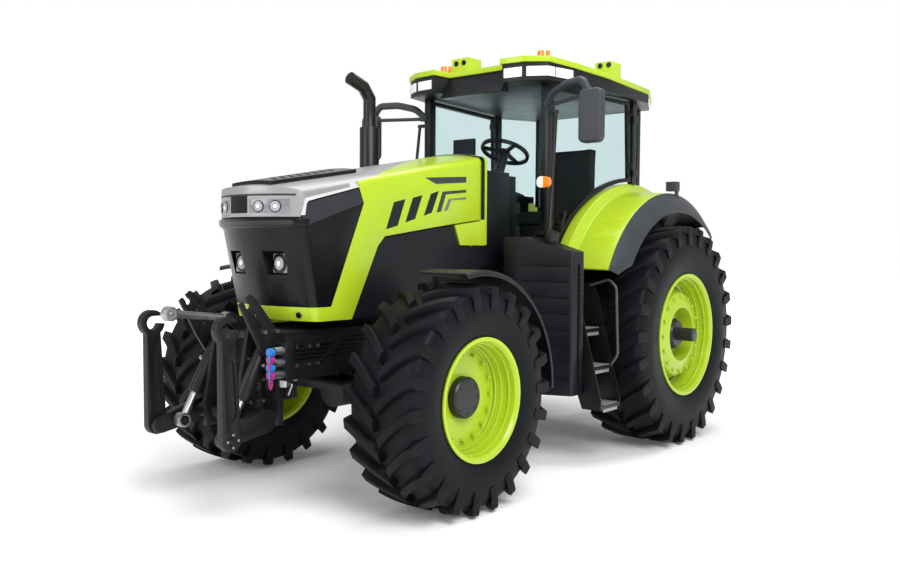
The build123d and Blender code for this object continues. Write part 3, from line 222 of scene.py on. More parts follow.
def tyre_lug(form, centre, radius, tread, width, lug_width, start, sweep, half):
    # The path bends from the middle of the tread to the shoulder, then runs a little way down the sidewall
    sections = []
    middle, bend, shoulder = LUG_ENDS
    spread = lug_width / 2 / radius
    chamfer = LUG_CHAMFER / radius
    foot = LUG_FOOT / radius
    for step in range(LUG_STEPS + 2):
        u = min(1.0, step / (LUG_STEPS - 1))
        offset = (1 - u) ** 2 * middle + 2 * u * (1 - u) * bend + u**2 * shoulder
        angle = start + sweep * (2 * u * (1 - u) * LUG_SWELL + u**2)
        drop = SHOULDER_DROP * u**3
        if step >= LUG_STEPS:
            offset += SIDEWALL_CREEP * (step - LUG_STEPS + 1)
            drop = SIDEWALL_DROP * (step - LUG_STEPS + 1)
        top = radius - 0.001 - drop
        low = tread - LUG_FOOT - drop * 1.2
        outline = [(low, -spread - foot), (top - LUG_CHAMFER, -spread), (top, -spread + chamfer),
                   (top, spread - chamfer), (top - LUG_CHAMFER, spread), (low, spread + foot)]
        sections.append([form.verts.new(wheel_point(centre, r, angle + shift, half * offset * width))
                         for r, shift in outline])
    bridge(form, sections, True)
    form.faces.new(sections[0])
    form.faces.new(list(reversed(sections[-1])))


def tyre_mesh(node, lugs, lug_height, seat):
    low, high = box_of(node)
    centre = (low + high) / 2
    radius = (high.z - low.z) / 2
    width = high.y - low.y
    tread = radius - lug_height
    pitch = 2 * math.pi / lugs
    lug_width = 0.33 * pitch * radius
    sweep = 0.35 * width / radius
    form = bmesh.new()
    tyre_carcass(form, centre, seat, tread, width)
    for k in range(lugs):
        for half in (1, -1):
            start = -math.pi / 2 - sweep / 2 + pitch * (k + (0.5 if half < 0 else 0.0))
            tyre_lug(form, centre, radius, tread, width, lug_width, start, sweep, half)
    bmesh.ops.recalc_face_normals(form, faces=form.faces)
    return shaded(form, f"{node}_skin", 40)


for place, lugs, lug_height, seat in (("front", 22, 0.045, 0.358), ("rear", 25, 0.05, 0.485)):
    for hand in ("left", "right"):
        node = f"tyre_{place}_{hand}"
        add_piece(f"{node}_skin", tyre_mesh(node, lugs, lug_height, seat), rubber, "tyre_rubber",
                  body_of_node(node), node)

# Rims: pressed and welded steel, stoved lime green. The front disc is bolted to lugs of the barrel near r 0.27 m,
# the rear dish is pierced by ten windows; three rolled beads run round each barrel.
lime_paint = finish_material("lime_paint", (0.365, 0.505, 0.016), 0.3, spread=0.05, scale=2.0, grain_scale=220.0,
                             grain_depth=0.00005, coat=0.25, specular=0.3)
casting_grey = finish_material("casting_grey", (0.006, 0.0064, 0.008), 0.45, spread=0.3, scale=9.0,
                               grain_scale=160.0, grain_depth=0.0005, specular=0.3)
bright_steel = finish_material("bright_steel", (0.4, 0.4, 0.41), 0.36, spread=0.15, scale=14.0, grain_scale=500.0,
                               grain_depth=0.00008, metallic=1.0)
CREST_FLATS = 8


def round_crest(form, crest):
    # Narrow flats that follow a radius along the long edges between a side and the crown
    radius, corner, crown = crest
    for side in (1, -1):
        flank, top = Vector((0, side, 0)), Vector((crown[0], side * crown[1], crown[2]))
        axis = Vector((corner[0], side * corner[1], corner[2])) - (flank + top) * radius / (1 + flank.dot(top))
        for k in range(1, CREST_FLATS + 1):
            out = flank.slerp(top, k / (CREST_FLATS + 1))
            cut = bmesh.ops.bisect_plane(form, geom=form.verts[:] + form.edges[:] + form.faces[:], dist=1e-6,
                                         plane_co=axis + out * radius, plane_no=out, clear_outer=True)
            rim = [part for part in cut["geom_cut"] if isinstance(part, bmesh.types.BMEdge)]
            bmesh.ops.edgeloop_fill(form, edges=rim)
    bmesh.ops.recalc_face_normals(form, faces=form.faces)


def dress(node, material, slot, edge=0.003, crest=None, rounds=2):
    # The solid's own form with its sharp edges eased
    form = bmesh.new()
    form.from_mesh(frame["nodes"][node].data)
    bmesh.ops.remove_doubles(form, verts=form.verts, dist=1e-5)
    bmesh.ops.dissolve_limit(form, angle_limit=math.radians(0.6), verts=form.verts, edges=form.edges)
    if crest:
        round_crest(form, crest)
    if edge:
        sharp = [e for e in form.edges
                 if len(e.link_faces) == 2 and e.calc_face_angle() > math.radians(SHARP_ANGLE)]
        bmesh.ops.bevel(form, geom=sharp, offset=edge, segments=rounds, profile=0.6, affect="EDGES",
                        clamp_overlap=True)
    return add_piece(f"{node}_skin", shaded(form, f"{node}_skin"), material, slot, body_of_node(node), node)


def stud_tree(name, spread_inputs):
    # Six-sided heads set on points, turned and moved into place, then made real
    tree = bpy.data.node_groups.new(name, "GeometryNodeTree")
    tree.interface.new_socket("Geometry", in_out="OUTPUT", socket_type="NodeSocketGeometry")
    for label, kind in spread_inputs + [("Stud radius", "Float"), ("Height", "Float"), ("Sides", "Int"),
                                        ("Centre", "Vector"), ("Turn", "Vector"), ("Material", "Material")]:
        tree.interface.new_socket(label, in_out="INPUT", socket_type=f"NodeSocket{kind}")
    given, result = tree.nodes.new("NodeGroupInput"), tree.nodes.new("NodeGroupOutput")
    head = add_node(tree, "GeometryNodeMeshCylinder")
    seat = add_node(tree, "GeometryNodeInstanceOnPoints")
    place = add_node(tree, "GeometryNodeTransform")
    real = add_node(tree, "GeometryNodeRealizeInstances")
    coat = add_node(tree, "GeometryNodeSetMaterial")
    wire(tree, (given, "Stud radius", head, "Radius"), (given, "Height", head, "Depth"),
         (given, "Sides", head, "Vertices"), (head, "Mesh", seat, "Instance"),
         (seat, "Instances", place, "Geometry"), (given, "Centre", place, "Translation"),
         (given, "Turn", place, "Rotation"), (place, "Geometry", real, "Geometry"),
         (real, "Geometry", coat, "Geometry"), (given, "Material", coat, "Material"),
         (coat, "Geometry", result, "Geometry"))
    return tree, given, seat


stud_ring, ring_given, ring_seat = stud_tree("Stud ring", [("Count", "Int"), ("Ring radius", "Float")])
ring_points = add_node(stud_ring, "GeometryNodeMeshCircle")
wire(stud_ring, (ring_given, "Count", ring_points, "Vertices"), (ring_given, "Ring radius", ring_points, "Radius"),
     (ring_points, "Mesh", ring_seat, "Points"))

stud_grid, grid_given, grid_seat = stud_tree("Stud grid", [
    ("Length", "Float"), ("Width", "Float"), ("Columns", "Int"), ("Rows", "Int")])
grid_points = add_node(stud_grid, "GeometryNodeMeshGrid")
wire(stud_grid, (grid_given, "Length", grid_points, "Size X"), (grid_given, "Width", grid_points, "Size Y"),
     (grid_given, "Columns", grid_points, "Vertices X"), (grid_given, "Rows", grid_points, "Vertices Y"),
     (grid_points, "Mesh", grid_seat, "Points"))


def real_mesh(carrier):
    bpy.context.view_layer.update()
    mesh = bpy.data.meshes.new_from_object(carrier.evaluated_get(bpy.context.evaluated_depsgraph_get()))
    bpy.data.objects.remove(carrier)
    return mesh


def studs(tree, material, **values):
    carrier = bpy.data.objects.new("stud_carrier", bpy.data.meshes.new("stud_carrier"))
    bpy.context.scene.collection.objects.link(carrier)
    modifier = carrier.modifiers.new("studs", "NODES")
    modifier.node_group = tree
    values = {"Sides": 6, "Turn": (math.pi / 2, 0, 0), **values, "Material": material}
    for socket in tree.interface.items_tree:
        if socket.in_out == "INPUT":
            modifier[socket.identifier] = values[socket.name.replace(" ", "_")]
    return real_mesh(carrier)


def joined(name, meshes):
    form = bmesh.new()
    for mesh in meshes:
        form.from_mesh(mesh)
    return shaded(form, name)


def add_trim(name, meshes, material, slot, node):
    # Small fittings that ride with the body of a node
    return add_piece(name, joined(name, meshes), material, slot, body_of_node(node))


def ridge(centre, side, radius, offset, rise=0.009):
    # A rolled bead round the inside of the barrel
    form = bmesh.new()
    loops = []
    for step in range(72):
        angle = 2 * math.pi * step / 72
        loops.append([
            form.verts.new(wheel_point(centre, radius + rise * math.cos(t), angle,
                                       side * (offset + rise * math.sin(t))))
            for t in (2 * math.pi * k / 8 for k in range(8))
        ])
    bridge(form, loops + loops[:1], True)
    bmesh.ops.recalc_face_normals(form, faces=form.faces)
    return shaded(form, "ridge")


RIM_BOLTS = 16
for place, ring_radius, depth, ridges in (
        ("front", 0.27, 0.082, ((0.322, 0.092), (0.336, 0.13), (0.346, 0.185))),
        ("rear", 0.318, 0.198, ((0.452, 0.1), (0.464, 0.15), (0.472, 0.21)))):
    for hand, side in (("left", 1), ("right", -1)):
        node = f"rim_{place}_{hand}"
        dress(node, lime_paint, "green_paint", edge=0.004)
        low, high = box_of(node)
        centre = (low + high) / 2
        bolts = studs(stud_ring, lime_paint, Count=RIM_BOLTS, Ring_radius=ring_radius, Stud_radius=0.012,
                      Height=0.03, Centre=centre + Vector((0, side * depth, 0)))
        beads = [ridge(centre, side, radius, offset) for radius, offset in ridges]
        add_trim(f"{node}_bolts", [bolts, *beads], lime_paint, "green_paint", node)

# Hubs: the front planetary cover is a black turned cap with a ring of small screws; the rear cast hub is clamped
# on the bar axle with bolts round its boss.
hub_black = finish_material("hub_black", (0.012, 0.0125, 0.014), 0.38, spread=0.2, scale=20.0, grain_scale=300.0,
                            grain_depth=0.0002, specular=0.4)
HUB_SCREWS = 8
for hand, side in (("left", 1), ("right", -1)):
    for place, ring_radius, stud, behind, material, slot in (
            ("front", 0.1, 0.007, 0.0, hub_black, "grey_casting"),
            ("rear", 0.128, 0.016, 0.196, bright_steel, "bright_steel")):
        node = f"hub_{place}_{hand}"
        dress(node, hub_black, "grey_casting")
        low, high = box_of(node)
        centre = (low + high) / 2
        face = (high.y if side > 0 else -low.y) - behind
        screws = studs(stud_ring, bright_steel, Count=HUB_SCREWS, Ring_radius=ring_radius, Stud_radius=stud,
                       Height=2 * stud, Centre=Vector((centre.x, side * (face - 0.4 * stud), centre.z)))
        add_trim(f"{node}_bolts", [screws], material, slot, node)

# Driveline: grey-black castings of the engine, front support, gearbox, axles and knuckles, bolted together.
# The support's sides take eight large bolts each, and five bent steel pipes run back along the left one.
frame_black = finish_material("frame_black", (0.005, 0.0053, 0.0068), 0.36, spread=0.2, grain_scale=400.0,
                              grain_depth=0.00006, specular=0.35)
for node in ("engine_block", "front_support", "front_axle", "knuckle_left", "knuckle_right", "transmission",
             "rear_axle"):
    dress(node, casting_grey, "grey_casting", edge=0.006)
dress("steering_rod", bright_steel, "bright_steel")


def tube(path, radius, closed=False):
    curve = bpy.data.curves.new("tube", "CURVE")
    curve.dimensions = "3D"
    curve.bevel_depth = radius
    curve.bevel_resolution = 3
    curve.use_fill_caps = True
    line = curve.splines.new("POLY")
    line.points.add(len(path) - 1)
    line.use_cyclic_u = closed
    for point, place in zip(line.points, path):
        point.co = (*place, 1.0)
    carrier = bpy.data.objects.new("tube", curve)
    bpy.context.scene.collection.objects.link(carrier)
    return real_mesh(carrier)


def rounded_path(corners, radius, steps=5):
    path = [Vector(corners[0])]
    for before, here, after in zip(corners, corners[1:], corners[2:]):
        here = Vector(here)
        first = here + (Vector(before) - here).normalized() * radius
        last = here + (Vector(after) - here).normalized() * radius
        for k in range(steps + 1):
            u = k / steps
            path.append((1 - u) ** 2 * first + 2 * u * (1 - u) * here + u**2 * last)
    path.append(Vector(corners[-1]))
    return path


support_high = box_of("front_support")[1]
support_side = support_high.y
bolts = []
for side in (1, -1):
    for behind in (0.07, 0.24):
        bolts.append(studs(stud_grid, bright_steel, Length=0.07, Width=0.11, Columns=2, Rows=2, Stud_radius=0.013,
                           Height=0.02, Centre=(support_high.x - behind, side * (support_side + 0.006), 0.965)))
add_trim("support_bolts", bolts, bright_steel, "bright_steel", "front_support")
PIPE_RADIUS = 0.006
pipes = []
for k in range(5):
    z = 0.93 + 0.026 * k
    y = support_side + 0.009
    turn = support_high.x - 0.30 - 0.035 * k
    pipes.append(tube(rounded_path([
        (support_high.x - 0.01, y, z), (turn, y, z), (turn - 0.08, y, z + 0.035), (turn - 0.3, y, z + 0.035)
    ], 0.03), PIPE_RADIUS))
add_trim("support_pipes", pipes, frame_black, "black_frame", "front_support")

# Front linkage: dark cast frame, rocker and folded links with hook claws; plated pins, bolts and top link.
# The couplers on the left carry coloured dust caps on looped straps.
for node in ("front_linkage_frame", "front_rocker", "front_link_left", "front_link_right", "front_lift_barrels"):
    dress(node, casting_grey, "grey_casting", edge=0.004)
for node in ("front_lift_rods", "top_links"):
    dress(node, bright_steel, "bright_steel")
frame_low, frame_high = box_of("front_linkage_frame")
plate_side = support_side + 0.01
bolts = []
for side in (1, -1):
    bolts.append(studs(stud_grid, bright_steel, Length=0.09, Width=0.2, Columns=2, Rows=2, Stud_radius=0.014,
                       Height=0.024, Centre=(frame_low.x + 0.1, side * (plate_side + 0.006), 1.03)))
    bolts.append(studs(stud_grid, bright_steel, Length=0.1, Width=0.26, Columns=2, Rows=3, Stud_radius=0.012,
                       Height=0.02, Centre=(frame_low.x + 0.1, side * 0.176, 0.83)))
add_trim("linkage_bolts", bolts, bright_steel, "bright_steel", "front_linkage_frame")
for hand, side in (("left", 1), ("right", -1)):
    node = f"front_link_{hand}"
    low, high = box_of(node)
    outer = high.y if side > 0 else -low.y
    rivets = studs(stud_ring, bright_steel, Count=4, Ring_radius=0.036, Stud_radius=0.008, Height=0.014,
                   Centre=((low.x + high.x) / 2 - 0.02, side * (outer + 0.003), low.z + 0.062))
    add_trim(f"{node}_bolts", [rivets], bright_steel, "bright_steel", node)
coupler_y = frame_high.y - 0.038
for name, colour, levels in (("cap_magenta", (0.32, 0.02, 0.16), (0.89, 0.98)),
                             ("cap_blue", (0.01, 0.16, 0.5), (0.935, 1.025))):
    caps = []
    for z in levels:
        strap = [(frame_low.x + 0.15 + 0.02 * math.cos(a), coupler_y + 0.012 * math.cos(a),
                  z - 0.045 + 0.045 * math.sin(a)) for a in (2 * math.pi * k / 18 for k in range(18))]
        caps.append(tube(strap, 0.006, closed=True))
        caps.append(tube([(frame_low.x + x, coupler_y, z - 0.01) for x in (0.135, 0.165)], 0.026))
    cap_colour = finish_material(name, colour, 0.4, spread=0.1, scale=40.0, grain_depth=0.0001)
    add_trim(name, caps, cap_colour, "black_plastic", "front_linkage_frame")

sleeves = [tube([(frame_low.x + x, coupler_y, z) for x in (0.06, 0.128)], 0.024) for z in (0.88, 0.95, 1.02)]
valve = tube([(frame_low.x + 0.03, coupler_y - 0.02, z) for z in (0.8, 0.84)], 0.034)
lever = tube(rounded_path([(frame_low.x + 0.03, coupler_y + 0.02, 0.82), (frame_low.x + 0.03, coupler_y + 0.05, 0.82),
                           (frame_low.x + 0.06, coupler_y + 0.05, 0.76)], 0.012), 0.007)
add_trim("coupler_sleeves", [*sleeves, valve, lever], bright_steel, "bright_steel", "front_linkage_frame")

# Rear linkage: forged lower links, lift arms and lift rods, dark grey.
for node in ("rear_lower_links", "rear_lift_arms", "rear_lift_rods"):
    dress(node, casting_grey, "grey_casting", edge=0.004)

# Bonnet: lime-green side panels with three open vents and decal stripes, silver-grey nose and top, black slatted
# scoop. Nose and panels are painted mouldings that open as one on the cowl's hinge pins.
axle_x = sum(corner.x for corner in box_of("rim_rear_left")) / 2
bonnet_side = box_of("bonnet")[1].y
silver_paint = finish_material("silver_paint", (0.27, 0.265, 0.275), 0.36, spread=0.06, grain_scale=900.0,
                               grain_depth=0.00003, metallic=0.3, coat=0.15)
moulded_black = finish_material("moulded_black", (0.0045, 0.0053, 0.0078), 0.42, spread=0.2, grain_scale=900.0,
                                grain_depth=0.00012, specular=0.3)
gloss_black = finish_material("gloss_black", (0.005, 0.0053, 0.0065), 0.2, spread=0.2, scale=8.0,
                              grain_depth=0.00002, specular=0.25, coat=0.05, rough_spread=0.06)
decal_grey = finish_material("decal_grey", (0.13, 0.135, 0.13), 0.35, spread=0.05, scale=30.0, grain_depth=0.00003)
decal_dark = finish_material("decal_dark", (0.022, 0.026, 0.026), 0.35, spread=0.05, scale=30.0,
                             grain_depth=0.00003)
chrome = finish_material("chrome", (0.86, 0.87, 0.88), 0.16, spread=0.04, scale=10.0, grain_depth=0.00003,
                         metallic=0.6, rough_spread=0.05)
BONNET_CREST = (0.045, (axle_x + 1.75, 0.39, 2.301), Vector((0.18, 0.22, 0.96)).normalized())
dress("bonnet", lime_paint, "green_paint", edge=0.006, crest=BONNET_CREST)
dress("bonnet_nose", silver_paint, "grey_paint", edge=0.006, crest=BONNET_CREST)
dress("bonnet_scoop", gloss_black, "black_plastic", edge=0.002)


def side_panel(outline, inner, outer, sides=(1, -1)):
    # Flat pieces on the sides, outlined by distance ahead of the rear axle and height
    form = bmesh.new()
    for side in sides:
        near = [form.verts.new((axle_x + x, side * outer, z)) for x, z in outline]
        far = [form.verts.new((axle_x + x, side * inner, z)) for x, z in outline]
        form.faces.new(near)
        form.faces.new(list(reversed(far)))
        bridge(form, [near, far], True)
    bmesh.ops.recalc_face_normals(form, faces=form.faces)
    return shaded(form, "side_panel")


decal = (bonnet_side - 0.002, bonnet_side + 0.0012)
dark_stripes = [
    [(2.248, 1.883), (2.184, 2.032), (1.915, 2.061), (1.915, 2.040), (2.146, 2.014), (2.200, 1.890)],
    [(2.374, 2.119), (1.915, 2.155), (1.915, 2.113), (2.256, 2.082)],
]
grey_stripe = [(2.167, 1.896), (2.116, 1.983), (1.915, 2.007), (1.915, 1.989), (2.085, 1.975), (2.129, 1.901)]
add_trim("bonnet_dark_stripes", [side_panel(outline, *decal) for outline in dark_stripes], decal_dark,
         "black_plastic", "bonnet")
add_trim("bonnet_grey_stripes", [side_panel(grey_stripe, *decal)], decal_grey, "grey_paint", "bonnet")
vent_backs = []
for k in range(3):
    x, z, width, height = 2.762 - 0.188 * k, 1.752 + 0.05 * k, 0.116 - 0.013 * k, 0.184 - 0.013 * k
    lean = x - 0.076
    outline = [(x, z), (lean, z + height), (lean - width, z + height + 0.025), (x - width, z + 0.027)]
    vent_backs.append(side_panel(outline, bonnet_side - 0.016, bonnet_side - 0.003))
add_trim("vent_screens", vent_backs, moulded_black, "black_plastic", "bonnet")
strip = [(3.490, 1.822), (3.466, 1.823), (3.454, 1.893), (3.436, 1.910), (3.016, 2.016), (3.062, 2.050),
         (3.096, 2.040), (3.094, 2.012), (3.462, 1.925)]
add_trim("nose_strip", [side_panel(strip, bonnet_side - 0.004, bonnet_side + 0.005)], chrome, "bright_steel",
         "bonnet")

# Nose: two recessed lamp clusters of round clear lamps each side of a bare square badge plate, a dark line along
# the top edge; the black grille below wraps round to the sides and holds two work lamps in pockets.
clear_lens = finish_material("clear_lens", (0.78, 0.8, 0.82), 0.1, spread=0.1, scale=30.0, grain_scale=120.0,
                             grain_depth=0.0004, coat=1.0, rough_spread=0.05)
lamp_glass = finish_material("lamp_glass", (0.33, 0.34, 0.36), 0.12, spread=0.3, scale=60.0, grain_scale=150.0,
                             grain_depth=0.0006, specular=0.3, rough_spread=0.05)
lamp_grey = finish_material("lamp_grey", (0.17, 0.17, 0.18), 0.25, spread=0.1, scale=20.0, grain_depth=0.00005,
                            coat=0.6)
grille_black = finish_material("grille_black", (0.006, 0.0063, 0.007), 0.24, spread=0.2, scale=6.0, grain_depth=0.0,
                               specular=0.16)
MESH_PITCH = 0.012
MESH_DEPTH = 0.001


def add_mesh_bump(material):
    # The fine crossed wires of the grille's screen
    tree = material.node_tree
    place = add_node(tree, "ShaderNodeTexCoord")
    wires = add_node(tree, "ShaderNodeMath", operation="MULTIPLY")
    for k, axis in enumerate(("Y", "Z")):
        wave = add_node(tree, "ShaderNodeTexWave", {"Scale": 0.314 / MESH_PITCH}, wave_type="BANDS",
                        bands_direction=axis)
        wire(tree, (place, "Object", wave, "Vector"), (wave, "Fac", wires, k))
    bump = add_node(tree, "ShaderNodeBump", {"Strength": 0.5, "Distance": MESH_DEPTH})
    wire(tree, (wires, "Value", bump, "Height"), (bump, "Normal", tree.nodes["Principled BSDF"], "Normal"))


add_mesh_bump(grille_black)
dress("front_grille", grille_black, "black_plastic", edge=0.004)
dress("front_lamps", lamp_grey, "clear_lens", edge=0.003)


def surface_of(*meshes):
    corners, faces = [], []
    for mesh in meshes:
        faces += [[len(corners) + v for v in face.vertices] for face in mesh.polygons]
        corners += [vertex.co.copy() for vertex in mesh.vertices]
    return BVHTree.FromPolygons(corners, faces)


nose_skin = surface_of(*(frame["nodes"][node].data
                         for node in ("bonnet_nose", "front_grille", "front_lamps", "bonnet")))


def seen_ahead(surface, y, z):
    return surface.ray_cast(Vector((9.0, y, z)), Vector((-1, 0, 0)))[:2]


def disc(place, facing, radius, height, dome=0.0, sides=24):
    # A round button standing on a surface, domed by the given rise
    turn = facing.to_track_quat("Z", "Y").to_matrix()
    form = bmesh.new()
    loops = []
    for r, h in ((radius, -0.004), (radius, height * 0.7), (radius * 0.92, height),
                 (radius * 0.6, height + dome * 0.7)):
        loops.append([form.verts.new(place + turn @ Vector((r * math.cos(a), r * math.sin(a), h)))
                      for a in (2 * math.pi * k / sides for k in range(sides))])
    bridge(form, loops, True)
    form.faces.new(loops[-1])
    form.faces.new(list(reversed(loops[0])))
    bmesh.ops.recalc_face_normals(form, faces=form.faces)
    return shaded(form, "disc")


def nose_patch(half, steps, levels, lift):
    # A skin that follows the nose between two heights
    form = bmesh.new()
    loops = []
    for z in levels:
        loop = []
        for k in range(steps + 1):
            place, facing = seen_ahead(nose_skin, half * (2 * k / steps - 1), z)
            loop.append(form.verts.new(place + facing * lift))
        loops.append(loop)
    bridge(form, loops, False)
    solid = bmesh.ops.extrude_face_region(form, geom=list(form.faces))
    for part in solid["geom"]:
        if isinstance(part, bmesh.types.BMVert):
            part.co.x -= 0.004 + lift
    bmesh.ops.recalc_face_normals(form, faces=form.faces)
    return shaded(form, "nose_patch")


brow_grey = finish_material("brow_grey", (0.02, 0.021, 0.025), 0.4, spread=0.1, scale=12.0, grain_depth=0.00005,
                            specular=0.3)
wedge = side_panel([(3.484, 1.815), (3.448, 1.897), (3.02, 2.004), (2.974, 1.917), (3.470, 1.755)],
                   bonnet_side - 0.004, bonnet_side + 0.004)
brow = nose_patch(0.36, 16, (1.745, 1.765, 1.79), 0.002)
line = nose_patch(0.36, 16, (1.938, 1.949), 0.002)
add_trim("nose_brow", [wedge, brow, line], brow_grey, "black_plastic", "front_grille")
rings, lamps, bulbs = [], [], []
for side in (1, -1):
    for y, z in ((0.16, 1.874), (0.262, 1.874)):
        place, facing = seen_ahead(nose_skin, side * y, z)
        rings.append(disc(place, facing, 0.037, 0.003))
        lamps.append(disc(place + facing * 0.002, facing, 0.031, 0.004, 0.004))
        bulbs.append(disc(place + facing * 0.006, facing, 0.012, 0.004, 0.004))
    place, facing = seen_ahead(nose_skin, side * 0.183, 1.53)
    rings.append(disc(place, facing, 0.062, 0.006))
    lamps.append(disc(place + facing * 0.005, facing, 0.042, 0.006, 0.006))
    bulbs.append(disc(place + facing * 0.012, facing, 0.018, 0.004, 0.004))
add_trim("lamp_rings", rings, gloss_black, "black_plastic", "front_lamps")
add_trim("lamp_lenses", lamps, lamp_glass, "clear_lens", "front_lamps")
add_trim("lamp_bulbs", bulbs, clear_lens, "clear_lens", "front_lamps")
badge = nose_patch(0.078, 6, (1.835, 1.87, 1.905, 1.94), 0.003)
latch = disc(*seen_ahead(nose_skin, 0.274, 1.213), 0.019, 0.01)
add_trim("badge_place", [badge, latch], gloss_black, "black_plastic", "bonnet")

# Cowl, side shields and exhaust: a painted strip with its tabs behind the bonnet, black moulded shields under
# it, and a black enamelled silencer with its tail pipe on the right.
cowl_skin = dress("cowl", lime_paint, "green_paint", edge=0.006, crest=BONNET_CREST)
dress("side_shields", moulded_black, "black_plastic", edge=0.006)
dress("exhaust", frame_black, "black_frame", edge=0.006)
SEAL_BAND = (1.694, 1.7365)
SEAL_END = 1.842
SEAL_CENTRE = 1.75
SEAL_RISE = 0.004
SEAL_STEPS = 90


def cowl_seal():
    # A black rubber seal over the cowl's front edge, from one side round to the other
    surface = surface_of(cowl_skin.data)
    rear, front = SEAL_BAND
    form = bmesh.new()
    loops = []
    for k in range(SEAL_STEPS + 1):
        angle = math.radians(180 * k / SEAL_STEPS)
        out = Vector((0, math.cos(angle), math.sin(angle)))
        loop = []
        for x, lift in ((rear, -SEAL_RISE), (rear, SEAL_RISE), (front, SEAL_RISE), (front, -SEAL_RISE)):
            place = surface.ray_cast(Vector((axle_x + x, 0, SEAL_CENTRE)) + out * 3, -out)[0]
            if place is not None and place.z > SEAL_END:
                loop.append(place + out * lift)
        if len(loop) == 4:
            loops.append([form.verts.new(place) for place in loop])
    bridge(form, loops, True)
    form.faces.new(loops[0])
    form.faces.new(list(reversed(loops[-1])))
    bmesh.ops.recalc_face_normals(form, faces=form.faces)
    return shaded(form, "cowl_seal")


add_piece("cowl_seal", cowl_seal(), gloss_black, "black_plastic", body_of_node("cowl"))

# Front mudguards: black moulded shells on straps from the knuckles.
for node in ("mudguard_left", "mudguard_right"):
    dress(node, moulded_black, "black_plastic", edge=0.004)

# Cab: black tubular frame, moulded tub and pale green-tinted panes in rubber seals; two doors on rear hinges,
# each with a pull handle low at its front edge.
tinted_glass = bpy.data.materials.new("tinted_glass")
tinted_glass.use_nodes = True
pane = tinted_glass.node_tree.nodes["Principled BSDF"]
pane.inputs["Roughness"].default_value = 0.02
pane.inputs["Transmission Weight"].default_value = 1.0
pane.inputs["IOR"].default_value = 1.06
tint = add_node(tinted_glass.node_tree, "ShaderNodeGroup",
                {"Color": (0.8, 0.9, 0.905, 1.0), "Spread": 0.06, "Scale": 1.2}, node_tree=mottle)
wire(tinted_glass.node_tree, (tint, "Color", pane, "Base Color"))
dress("cab_tub", moulded_black, "black_plastic", edge=0.006)
dress("cab_pillars", frame_black, "black_frame", edge=0.008)
for node in ("door_left_frame", "door_right_frame"):
    dress(node, frame_black, "black_frame", edge=0.006)
for node in ("cab_glass", "door_left_glass", "door_right_glass"):
    dress(node, tinted_glass, "tinted_glass", edge=0)
for hand, side in (("left", 1), ("right", -1)):
    low, high = box_of(f"door_{hand}_frame")
    outer = (high.y if side > 0 else -low.y) - 0.115
    handle = tube(rounded_path([(high.x - back, side * (outer + out), z) for back, out, z in (
        (0.10, 0, 1.93), (0.09, 0.05, 1.93), (0.05, 0.04, 1.80), (0.05, -0.01, 1.80))], 0.012), 0.011)
    add_trim(f"door_{hand}_handle", [handle], frame_black, "black_frame", f"door_{hand}_frame")

# Inside the cab: moulded console, armrest and monitor, a padded cloth seat and the steering wheel.
for node in ("cab_fittings", "steering_wheel"):
    dress(node, moulded_black, "black_plastic", edge=0.006)
seat_cloth = finish_material("seat_cloth", (0.016, 0.017, 0.019), 0.85, spread=0.3, scale=60.0, grain_scale=700.0,
                             grain_depth=0.0006, specular=0.2)
SEAT_VOXEL = 0.012
SEAT_LIMIT = 0.012
SEAT_EASE = 6
SEAT_PRESSURE = 4.0
SEAT_STEPS = 20


def seat_pad():
    # The seat's form with rounded edges, puffed up a little by the stuffing
    mesh = frame["nodes"]["seat"].data.copy()
    form = bmesh.new()
    form.from_mesh(mesh)
    bmesh.ops.remove_doubles(form, verts=form.verts, dist=1e-5)
    bmesh.ops.recalc_face_normals(form, faces=form.faces)
    form.to_mesh(mesh)
    form.free()
    pad = bpy.data.objects.new("seat_pad", mesh)
    bpy.context.scene.collection.objects.link(pad)
    voxels = pad.modifiers.new("voxels", "REMESH")
    voxels.mode = "VOXEL"
    voxels.voxel_size = SEAT_VOXEL
    ease = pad.modifiers.new("ease", "SMOOTH")
    ease.iterations = SEAT_EASE
    bpy.context.view_layer.update()
    pad.data = bpy.data.meshes.new_from_object(pad.evaluated_get(bpy.context.evaluated_depsgraph_get()))
    pad.modifiers.clear()
    start = [vertex.co.copy() for vertex in pad.data.vertices]
    cloth = pad.modifiers.new("cloth", "CLOTH")
    cloth.settings.use_pressure = True
    cloth.settings.uniform_pressure_force = SEAT_PRESSURE
    cloth.settings.effector_weights.gravity = 0.0
    for step in range(1, SEAT_STEPS + 1):
        bpy.context.scene.frame_set(step)
    puffed = pad.evaluated_get(bpy.context.evaluated_depsgraph_get()).to_mesh()
    moved = [vertex.co.copy() for vertex in puffed.vertices]
    pad.modifiers.clear()
    for vertex, before, after in zip(pad.data.vertices, start, moved):
        shift = after - before
        vertex.co = before + shift * min(1.0, SEAT_LIMIT / max(shift.length, 1e-6))
    bpy.context.scene.frame_set(1)
    mesh = pad.data.copy()
    bpy.data.objects.remove(pad)
    form = bmesh.new()
    form.from_mesh(mesh)
    return shaded(form, "seat_skin", 180)


seat = add_piece("seat_skin", seat_pad(), seat_cloth, "seat_cloth", body_of_node("seat"), "seat")

